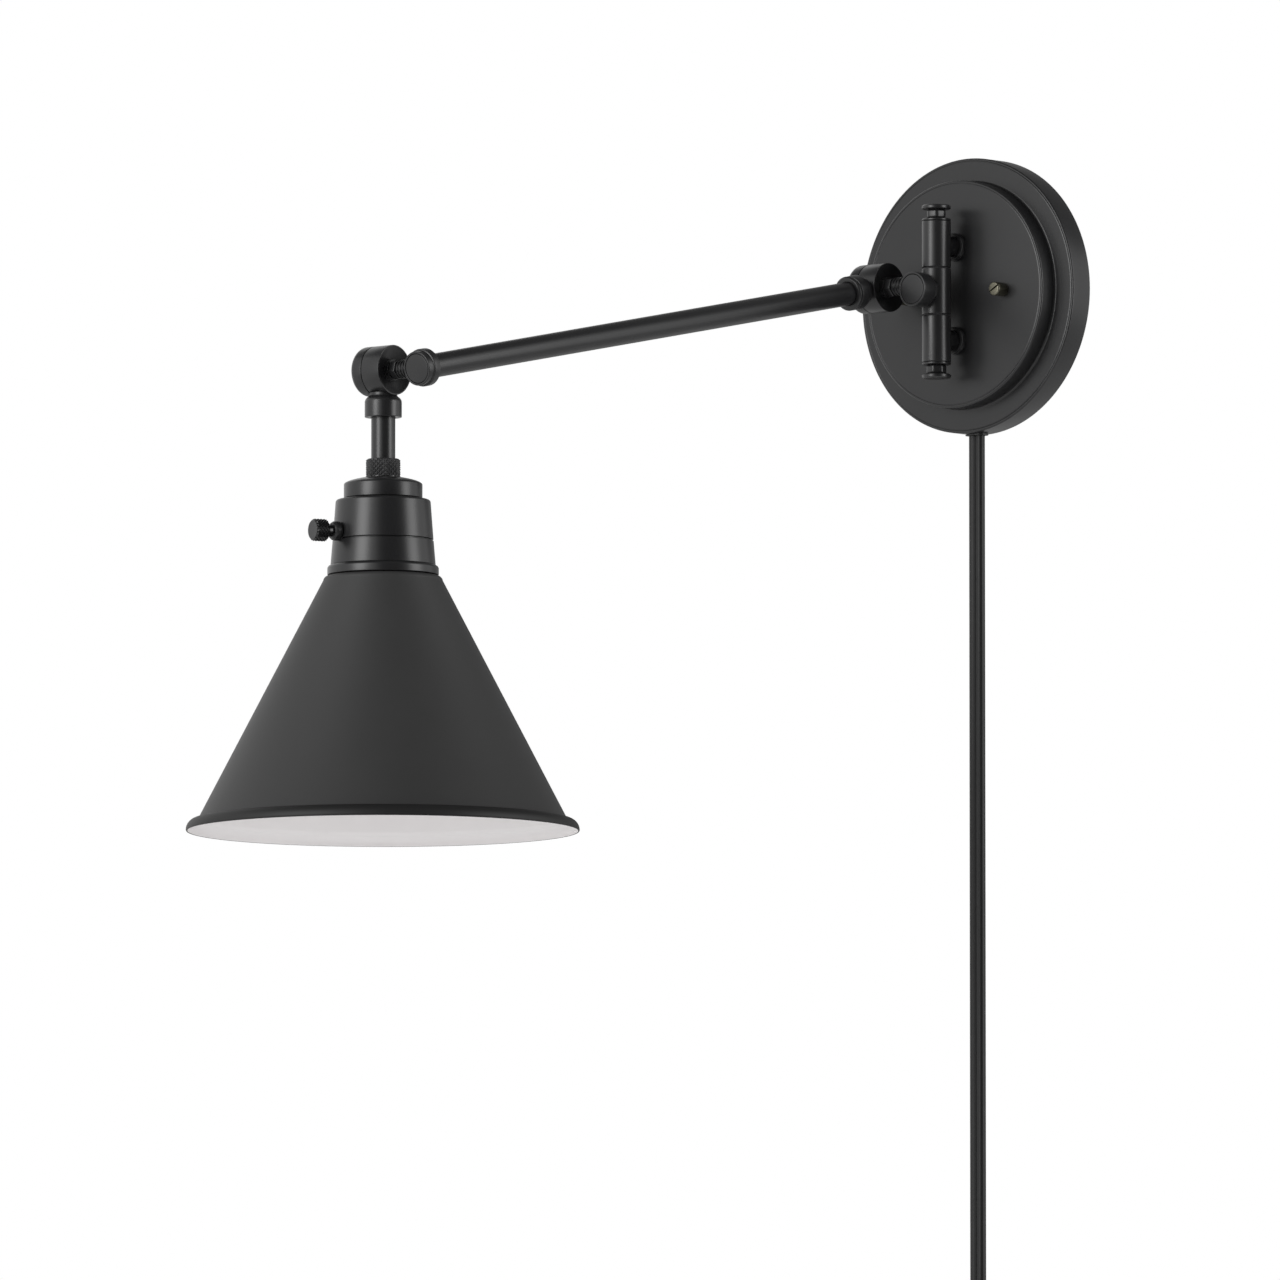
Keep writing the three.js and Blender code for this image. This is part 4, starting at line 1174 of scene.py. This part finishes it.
@dataclass
class Shade(Assembly):
    """The spun cone. Distances run down from the elbow axis."""

    top: float = 110.9
    hole_radius: float = 21.0
    neck_radius: float = 32.1
    neck_drop: float = 2.0
    cone_end: float = 242.0
    slope: float = 0.5156
    lip_radius: float = 5.8
    sheet: float = 1.0

    def build(self) -> None:
        """Builds the shade: black outside, a darker black painted as shade round the lip, and white inside.
        """
        rim = self.neck_radius + (self.cone_end - self.top - self.neck_drop + 0.2) * self.slope
        skew = self.sheet * math.hypot(1, self.slope)
        middle = (rim + 1.2, self.cone_end + self.lip_radius)
        outline = [
            (self.hole_radius, self.top), (self.neck_radius - 2.8, self.top),
            *arc(self.neck_radius - 2.8, self.top + 2.9, 2.9, -72, -8, 6),
            (self.neck_radius + 0.1, self.top + self.neck_drop + 0.6, 0), (rim, self.cone_end - 0.8, 1.0),
            *arc(*middle, self.lip_radius, -96, 0, 14),
            (middle[0] + self.lip_radius - 0.25, middle[1] + 0.6, 0.2),
            (middle[0] + self.lip_radius - 0.8, middle[1] + 0.6, 0.2),
            *arc(*middle, self.lip_radius - self.sheet, 0, -92, 12), (rim - skew, self.cone_end - 0.8, 1.0),
            (self.neck_radius - skew, self.top + self.neck_drop + 1, 0),
            (self.neck_radius - 2.6 - self.sheet, self.top + self.sheet, 0.8),
            (self.hole_radius, self.top + self.sheet),
        ]
        shade = turned("shade_fine", outline, loop=True, steps=192)
        for finish in (MATTE_COAT, WHITE_ENAMEL, LIP_SHADE_COAT):
            shade.data.materials.append(finish.material())
        edge = middle[1] + 0.3
        for face in shade.data.polygons:
            away = Vector((face.center.x, face.center.y, 0)).normalized()
            under_top = face.normal.z > 0.4 and face.center.z > (self.top + 0.5) * MM
            inward = face.normal.dot(away) < -0.2 or under_top
            # Faces past the end of the cone, round the lip, get the lip coat, painted darker as shade.
            outer = 2 if face.center.z > self.cone_end * MM else 0
            face.material_index = 1 if inward and face.center.z < edge * MM else outer
        dress(settle(shade, frame_at(self.at, DOWN)), Body.HEAD, MATTE_COAT, "shade")


@dataclass
class LampHolder(Assembly):
    """What is seen up inside the shade: holder, threaded shell, contact and retaining ring."""

    body_radius: float = 18.6
    skirt_radius: float = 17.4
    top: float = 74.0
    skirt_top: float = 91.6
    bottom: float = 114.0
    shell_radius: float = 13.2
    shell_wall: float = 0.6
    shell_top: float = 93.5
    shell_end: float = 115.6
    thread_pitch: float = 3.6
    thread_depth: float = 0.8
    ring_radius: float = 24.4
    ring_top: float = 112.1
    ring_height: float = 4.4
    flutes: tuple[float, float] = (3.2, 0.5)  # pitch and depth
    thread_steps: int = 44
    contact_radius: float = 4.0
    shell_hole: float = 6.0
    boss_radius: float = 8.4
    boss_height: float = 2.6

    def build(self) -> None:
        """Builds the lamp holder."""
        seat = self.shell_radius + self.shell_wall + PLAY
        crown = self.top - self.boss_height
        body = [
            (0, crown), (self.boss_radius, crown), (self.boss_radius, self.top),
            (self.body_radius, self.top, 0.8), (self.body_radius, self.skirt_top),
            (self.skirt_radius, self.skirt_top + 1), (self.skirt_radius, self.bottom, 0.5),
            (seat, self.bottom, 0.3), (seat, self.shell_top - 0.3), (0, self.shell_top - 0.3),
        ]
        self.turn("lamp_holder", body, DOWN, Body.HEAD, PHENOLIC, steps=80)
        start, end = self.shell_top + 3, self.shell_end - 1
        climb = [(end - start) * k / self.thread_steps for k in range(self.thread_steps + 1)]
        waves = [0.5 - 0.5 * math.cos(math.tau * h / self.thread_pitch) for h in climb]
        thread = [(self.shell_radius - self.thread_depth * w, start + h, 0) for h, w in zip(climb, waves)]
        outer = self.shell_radius + self.shell_wall
        shell = [
            (self.shell_hole, self.shell_top), (outer, self.shell_top, 1.2), (outer, self.shell_end, 0.2),
            (self.shell_radius, self.shell_end, 0.2), *reversed(thread),
            (self.shell_radius, self.shell_top + self.shell_wall, 0.8),
            (self.shell_hole, self.shell_top + self.shell_wall),
        ]
        self.turn("screw_shell", shell, DOWN, Body.HEAD, BRIGHT_BRASS, loop=True, steps=80)
        size, base = self.contact_radius, self.shell_top
        contact = [(0, base - 0.2), (size, base - 0.2), (size, base + 0.6, 0.5), (0, base + 1)]
        self.turn("centre_contact", contact, DOWN, Body.HEAD, BRIGHT_BRASS, steps=40)
        r, top, height = self.ring_radius, self.ring_top, self.ring_height
        bore = self.skirt_radius + PLAY
        outline = [
            (bore, top), (r - 0.6, top, 0.3), (r, top + 0.4), (r, top + 1.6), (r - 0.6, top + 2, 0.4),
            (bore + 3.1, top + height, 0.5), (bore, top + height, 0.3),
        ]
        ring = knurled("shade_retaining_ring_fine", outline, r, *self.flutes, Knurl.STRAIGHT)
        settle(ring, frame_at(self.at, DOWN))
        dress(ring, Body.HEAD, PHENOLIC, "shade_retaining_ring")


@dataclass
class TurnSwitch(Assembly):
    """The turn-knob switch. Distances run out along its axis from the axis of the head.

    Attributes:
        axis: Where the knob points.
    """

    axis: Vector = field(default_factory=lambda: OUT.copy())
    seat: float = 27.4
    nut_radius: float = 5.2
    nut_length: float = 4.2
    barrel_radius: float = 3.2
    shaft_radius: float = 1.6
    neck_radius: float = 3.2
    neck_length: float = 3.0
    knob_radius: float = 6.1
    knob_length: float = 8.3
    knurl: tuple[float, float] = (1.9, 0.45)  # pitch and depth
    barrel_start: float = 13.6
    shaft_start: float = 15.0

    def build(self) -> None:
        """Builds the barrel, the nut and the knob."""
        end = self.seat + self.nut_length
        barrel = pipe(self.shaft_radius + PLAY, self.barrel_radius, self.barrel_start, end - 0.1)
        self.turn("switch_barrel", barrel, self.axis, Body.HEAD, loop=True, steps=40)
        nut = [
            (self.barrel_radius + 0.1, self.seat), (self.nut_radius, self.seat, 0.3),
            (self.nut_radius, end - 1.3, 0.3), (self.nut_radius - 0.9, end, 0.4),
            (self.barrel_radius + 0.1, end),
        ]
        self.turn("switch_nut", nut, self.axis, Body.HEAD, loop=True, steps=48)
        start = end + PLAY + self.neck_length
        tip, r = start + self.knob_length, self.knob_radius
        outline = [
            (0, start), (r - 1.2, start, 0.3), (r, start + 0.9), (r, tip - 0.9), (r - 0.9, tip, 0.3),
            (r - 1.8, tip - 0.02, 0.3), (0, tip - 0.02),
        ]
        grip = settle(knurled("grip", outline, r, *self.knurl, Knurl.DIAMOND))
        outline = [
            (0, self.shaft_start), (self.shaft_radius, self.shaft_start), (self.shaft_radius, end + PLAY),
            (self.neck_radius, end + PLAY, 0.3), (self.neck_radius, start - 0.6, 0.6),
            (self.neck_radius + 1.2, start + 0.1), (0, start + 0.1),
        ]
        shaft = settle(turned("shaft", outline, steps=64))
        knob = joined("switch_knob_fine", grip, shaft)
        settle(knob, frame_at(self.at, self.axis), KNURL_CREASE)
        # The knob's coat is painted darker as the shade in its knurl.
        dress(knob, Body.SWITCH, KNOB_SHADE_COAT, "switch_knob")


# ---- Cord ----


@dataclass
class PowerCord:
    """The flat two-core cord, its hank, tie and plug.

    The cord lies in the plane square to the wall. Points of its route are [distance from the wall, height].
    """

    width: float = 9.9
    thickness: float = 5.1
    groove: float = 1.5  # half the thickness of the web between the two cores
    from_wall: float = 6.3
    inner_end: float = -57.5
    exit_height: float = -76.2
    run_top: float = -598.0
    run: float = 100.0
    runs: int = 7
    outer_fold: float = 40.8
    pitch: float = 5.3
    plug_top: float = -666.2
    plug_out: float = 37.7
    lead_steps: int = 28
    plug_neck: float = 14.0  # length of the plug's tapered neck
    plug_taper: tuple[float, float] = (0.45, 0.62)  # its width and depth at the cord, as shares of the plug's
    blade_hole: tuple[float, float] = (1.6, 4.0)  # its radius, and how far it is from the tip
    strap_corner: float = 3.2
    strap_thickness: float = 1.1

    def route(self) -> list[Vector]:
        """The centreline, from inside the canopy to inside the plug.

        Returns:
            Its points, in metres.
        """
        top, bottom = self.run_top, self.run_top - self.run
        middle = self.from_wall + self.outer_fold
        points: list[tuple[float, float]] = []
        for k in range(self.lead_steps):
            points.append((self.from_wall, self.inner_end + (top - self.inner_end) * k / self.lead_steps))
        shifts = [self.outer_fold - self.pitch / 2 * k for k in range(self.runs)]
        offsets = [shift if k % 2 else -shift for k, shift in enumerate(shifts)]
        for k, (here, after) in enumerate(zip(offsets, offsets[1:])):
            going_down = k % 2 == 0
            start, end = (top, bottom) if going_down else (bottom, top)
            points += [(middle + here, start + (end - start) * i / 5) for i in range(5)]
            radius, centre = abs(here - after) / 2, middle + (here + after) / 2
            out, along = math.copysign(radius, after - here), -radius if going_down else radius
            turns = [math.pi * i / 16 for i in range(16)]
            points += [(centre - out * math.cos(a), end + along * math.sin(a)) for a in turns]
        last = middle + offsets[-1]
        points += [(last, top), (last, top - 8)]
        tail = [
            Vector((last, top - 14)),
            Vector((last + 2, top - 22)),
            Vector((last + 8.5, top - 36)),
            Vector((self.plug_out - 3.5, self.plug_top + 14)),
            Vector((self.plug_out - 0.6, self.plug_top + 6)),
            Vector((self.plug_out, self.plug_top - 1)),
            Vector((self.plug_out, self.plug_top - 8)),
        ]
        points += [tuple(p) for p in smooth_line(tail, 4)]
        return [Vector((0, -y, z)) * MM for y, z in points]

    def section(self) -> list[Vector]:
        """The cord's section, two lobes side by side: x across the flat, y through it.

        Returns:
            Its points, in millimetres.
        """
        r = self.thickness / 2
        lobe = self.width / 2 - r
        turns = [math.radians(-118 + 236 * i / 9) for i in range(10)]
        right = [Vector((lobe + r * math.cos(a), r * math.sin(a))) for a in turns]
        left = [Vector((-p.x, -p.y)) for p in right]
        return [*right, Vector((0, self.groove)), *left, Vector((0, -self.groove))]

    def swept(self, name: str, path: Sequence[Vector]) -> Object:
        """Sweeps the section along a path in the plane x = 0.

        Args:
            name: The piece's name.
            path: The path's points, in metres.

        Returns:
            The piece.
        """
        shape = bmesh.new()
        section = self.section()
        rings = []
        for i, point in enumerate(path):
            ahead = path[min(i + 1, len(path) - 1)] - path[max(i - 1, 0)]
            side = ahead.normalized().cross(RIGHT)
            rings.append([shape.verts.new(point + (RIGHT * p.x + side * p.y) * MM) for p in section])
        for before, after in zip(rings, rings[1:]):
            for i in range(len(section)):
                j = (i + 1) % len(section)
                shape.faces.new((before[i], before[j], after[j], after[i]))
        shape.faces.new(rings[0][::-1])
        shape.faces.new(rings[-1])
        bmesh.ops.recalc_face_normals(shape, faces=shape.faces)
        mesh = bpy.data.meshes.new(name)
        shape.to_mesh(mesh)
        shape.free()
        obj = bpy.data.objects.new(name, mesh)
        bpy.context.collection.objects.link(obj)
        return settle(obj, smooth=50)

    def plug(self) -> Object:
        """Builds the moulded plug over its CAD node.

        Returns:
            The piece.
        """
        obj, middle, size = blank("plug_body")
        with editing(obj):
            bpy.ops.mesh.select_all(action="SELECT")
            cut = size.z / 2 - self.plug_neck * MM
            bpy.ops.mesh.bisect(plane_co=(0, 0, cut), plane_no=(0, 0, 1))
            pick(obj, lambda place: place.z > size.z / 2 - MM)
            bpy.ops.transform.resize(value=(*self.plug_taper, 1), center_override=(0, 0, size.z / 2))
        settle(softened(obj, 1.6, 4), Matrix.Translation(middle), 40)
        return dress(obj, Body.WALL_MOUNT, MOULDED_PLASTIC, "plug_body")

    def blade(self, node: str) -> Object:
        """Builds one blade over its CAD node: a flat with eased edges and a hole near its tip.

        Args:
            node: Its node.

        Returns:
            The piece.
        """
        obj, middle, size = blank(node)
        radius, from_tip = self.blade_hole
        across = (0, math.pi / 2, 0)
        bpy.ops.object.select_all(action="DESELECT")
        bpy.ops.mesh.primitive_cylinder_add(vertices=24, radius=radius * MM, depth=10 * MM, rotation=across)
        punch = bpy.context.object
        punch.location.z = from_tip * MM - size.z / 2
        carved(obj, punch)
        settle(softened(obj, 0.35), Matrix.Translation(middle))
        return dress(obj, Body.WALL_MOUNT, BRIGHT_BRASS, node)

    def band(self) -> Object:
        """Builds the tie round the hank: a closed strap with round corners.

        Returns:
            The piece.
        """
        obj, middle, size = blank("cord_tie")
        with editing(obj):
            bpy.ops.mesh.select_all(action="DESELECT")
            shape = bmesh.from_edit_mesh(obj.data)
            for edge in shape.edges:
                upright = abs(edge.verts[0].co.z - edge.verts[1].co.z) > size.z / 2
                edge.select_set(upright)
            bmesh.update_edit_mesh(obj.data)
            bpy.ops.mesh.bevel(offset=self.strap_corner * MM, segments=6)
            shape = bmesh.from_edit_mesh(obj.data)
            flat = [face for face in shape.faces if abs(face.normal.z) > 0.9]
            bmesh.ops.delete(shape, geom=flat, context="FACES")
            bmesh.update_edit_mesh(obj.data)
        modified(obj, "SOLIDIFY", thickness=self.strap_thickness * MM, offset=-1)
        settle(softened(obj, 0.25), Matrix.Translation(middle))
        return dress(obj, Body.WALL_MOUNT, NYLON, "cord_tie")

    def build(self) -> None:
        """Builds the cord and all that is on it."""
        pieces = [self.plug(), self.blade("plug_blade_wide"), self.blade("plug_blade_narrow"), self.band()]
        path = self.route()
        cord = self.swept("power_cord", path)
        dress(cord, Body.WALL_MOUNT, CORD_PVC, "cord_lead", "cord_hank", "cord_tail")


def smooth_line(points: Sequence[Vector], steps: int) -> list[Vector]:
    """A smooth line through points.

    Args:
        points: The points, in order.
        steps: How many stretches lie between two of them.

    Returns:
        The line's points.
    """
    line: list[Vector] = []
    padded = [points[0] * 2 - points[1], *points, points[-1] * 2 - points[-2]]
    for a, b, c, d in zip(padded, padded[1:], padded[2:], padded[3:]):
        for t in (k / steps for k in range(steps)):
            bend, twist = a * 2 - b * 5 + c * 4 - d, b * 3 - a - c * 3 + d
            line.append((b * 2 + (c - a) * t + bend * t**2 + twist * t**3) / 2)
    return [*line, points[-1].copy()]


# ---- CAD nodes that stay, studio and camera ----

CARRIED_OVER = {
    ZINC_STEEL: (
        "crossbar", "upper_bracket_nut", "lower_bracket_nut", "hinge_pin", "shoulder_lock_nut",
        "elbow_lock_nut",
    ),
    MOULDED_PLASTIC: ("cord_bushing", "splice_cap_live", "splice_cap_neutral"),
    CORD_PVC: ("conductor_live", "conductor_neutral"),
    NYLON: ("upper_thrust_washer", "lower_thrust_washer"),
}


def dress_carried_over(nodes: dict[str, Object]) -> None:
    """Gives the CAD nodes that stay their finishes.

    Args:
        nodes: The CAD nodes by name.
    """
    for finish, names in CARRIED_OVER.items():
        for name in names:
            nodes[name].data.materials.clear()
            nodes[name].data.materials.append(finish.material())


def heading(azimuth: float, elevation: float) -> Vector:
    """The direction of a place as seen from the fixture.

    Args:
        azimuth: Degrees from straight out of the wall towards +X.
        elevation: Degrees above the horizon.

    Returns:
        A vector of length 1.
    """
    turn, lift = math.radians(azimuth), math.radians(elevation)
    return Vector((math.sin(turn) * math.cos(lift), -math.cos(turn) * math.cos(lift), math.sin(lift)))


@dataclass
class Viewpoint:
    """A long lens from the right and a little below. Angles are degrees, lengths metres."""

    azimuth: float = 41.04
    elevation: float = -5.215
    distance: float = 11.0
    lens: float = 560.0
    left_of_origin: float = 0.19007
    below_origin: float = 0.18902
    sensor: float = 36.0  # millimetres, as the lens
    clip: float = 60.0

    def build(self) -> None:
        """Adds the camera and makes it the scene's own."""
        turn = math.radians(self.azimuth)
        right = Vector((math.cos(turn), math.sin(turn), 0))
        back = heading(self.azimuth, self.elevation)
        aim = -right * self.left_of_origin - back.cross(right) * self.below_origin
        bpy.ops.object.camera_add(location=aim + back * self.distance)
        camera = bpy.context.object
        camera.rotation_euler = back.to_track_quat("Z", "Y").to_euler()
        camera.data.lens = self.lens
        camera.data.sensor_width = self.sensor
        camera.data.clip_end = self.clip
        bpy.context.scene.camera = camera


@dataclass
class Studio:
    """A pale room with large soft lamps on both sides and dark cards that only reflections see."""

    floor_height: float = -1.75
    floor_size: float = 14.0
    ambient: float = 0.56
    middle: Vector = field(default_factory=lambda: Vector((-0.05, -0.25, -0.1)))

    def aimed(self, obj: Object, name: str, azimuth: float, elevation: float, away: float) -> Object:
        """Puts a lamp or a card in its place, turned to the fixture.

        Args:
            obj: The lamp or the card.
            name: Its name.
            azimuth: Degrees from straight out of the wall towards +X.
            elevation: Degrees above the horizon.
            away: Its distance in metres.

        Returns:
            The same object.
        """
        towards = heading(azimuth, elevation)
        obj.name = name
        obj.location = self.middle + towards * away
        obj.rotation_euler = towards.to_track_quat("Z", "Y").to_euler()
        return obj

    def lamp(self, name: str, place: Place, size: Size, watts: float) -> None:
        """Adds an area lamp that faces the fixture.

        Args:
            name: Its name.
            place: Its azimuth, elevation and distance.
            size: Its width and height in metres.
            watts: Its power.
        """
        bpy.ops.object.light_add(type="AREA")
        lamp = self.aimed(bpy.context.object, name, *place)
        lamp.data.shape = "RECTANGLE"
        lamp.data.size, lamp.data.size_y = size
        lamp.data.energy = watts

    def card(self, name: str, place: Place, size: Size, grey: float) -> None:
        """Adds a card that darkens reflections and neither shows nor takes light from the fixture.

        Args:
            name: Its name.
            place: Its azimuth, elevation and distance.
            size: Its width and height in metres.
            grey: How bright it is in a reflection, where the backdrop is 1.
        """
        bpy.ops.mesh.primitive_plane_add(size=1)
        card = self.aimed(bpy.context.object, name, *place)
        card.scale = (*size, 1)
        made = bpy.data.materials.new(name)
        tree = empty_tree(made)
        glow = add_node(tree, "Emission", {"Color": (grey, grey, grey, 1), "Strength": 1.0})
        add_node(tree, "OutputMaterial", {"Surface": glow.outputs[0]})
        card.data.materials.append(made)
        card.visible_camera = card.visible_diffuse = card.visible_shadow = False

    def world(self) -> None:
        """Makes the surroundings: white to the camera and in reflections, softer as a light."""
        world = bpy.data.worlds.new("studio")
        bpy.context.scene.world = world
        tree = empty_tree(world)
        ray = add_node(tree, "LightPath", {}).outputs
        seen = ray["Is Camera Ray"]
        for kind in ("Is Glossy Ray", "Is Transmission Ray"):
            seen = add_node(tree, "Math", {0: seen, 1: ray[kind]}, operation="MAXIMUM").outputs[0]
        dim = add_node(tree, "Background", {"Color": WHITE, "Strength": self.ambient})
        white = add_node(tree, "Background", {"Color": WHITE, "Strength": 1.0})
        mix = add_node(tree, "MixShader", {0: seen, 1: dim.outputs[0], 2: white.outputs[0]})
        add_node(tree, "OutputWorld", {"Surface": mix.outputs[0]})

    def floor(self) -> None:
        """Adds the plain pale floor."""
        bpy.ops.object.select_all(action="DESELECT")
        bpy.ops.mesh.primitive_plane_add(size=self.floor_size, location=(0, 0, self.floor_height))
        floor = bpy.context.object
        floor.name = "studio_floor"
        pale = Finish("pale_floor", "", "#f2f2f2", "#f5f5f5", 0.8, 40.0, 0.2, 900.0)
        floor.data.materials.append(pale.material())

    def build(self) -> None:
        """Builds the studio."""
        self.world()
        self.floor()
        self.lamp("left_softbox", (-7.0, 12.0, 2.6), (1.1, 1.9), 34.0)
        self.lamp("right_softbox", (110.0, 8.0, 2.6), (1.15, 1.9), 24.0)
        self.card("front_card", (61.0, 5.0, 2.2), (3.0, 3.4), 0.06)
        self.card("top_card", (60.0, 88.0, 2.2), (4.2, 4.2), 0.15)
        self.card("back_card", (192.0, 8.0, 2.8), (3.2, 3.0), 0.35)
        self.card("left_card", (-62.0, 5.0, 2.4), (2.6, 3.2), 0.95)
        self.card("high_back_card", (178.0, 42.0, 2.7), (3.2, 1.6), 0.2)
        bpy.context.scene.view_settings.view_transform = "Standard"


def main() -> None:
    """Builds the fixture, the studio and the camera."""
    logging.basicConfig(level=logging.INFO, format="%(name)s: %(message)s")
    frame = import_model()
    joints = {joint["name"]: joint for joint in frame["joints"]}
    at = {name: Vector(joint["pos_m"]) for name, joint in joints.items()}
    Viewpoint().build()
    PowerCord().build()
    Canopy(Vector()).build()
    Hinge(at["arm_swing"]).build()
    Knuckle(at["arm_tilt"], "shoulder", Body.SWIVEL, Body.ARM, 9.5).build()
    Arm(at["arm_tilt"], at["head_tilt"]).build()
    Knuckle(at["head_tilt"], "elbow", Body.ARM, Body.HEAD, 10.2).build()
    for part in (Stem, Socket, Shade, LampHolder):
        part(at["head_tilt"]).build()
    TurnSwitch(at["switch_turn"], Vector(joints["switch_turn"]["axis"])).build()
    dress_carried_over(frame["nodes"])
    Studio().build()


if __name__ == "__main__":
    main()
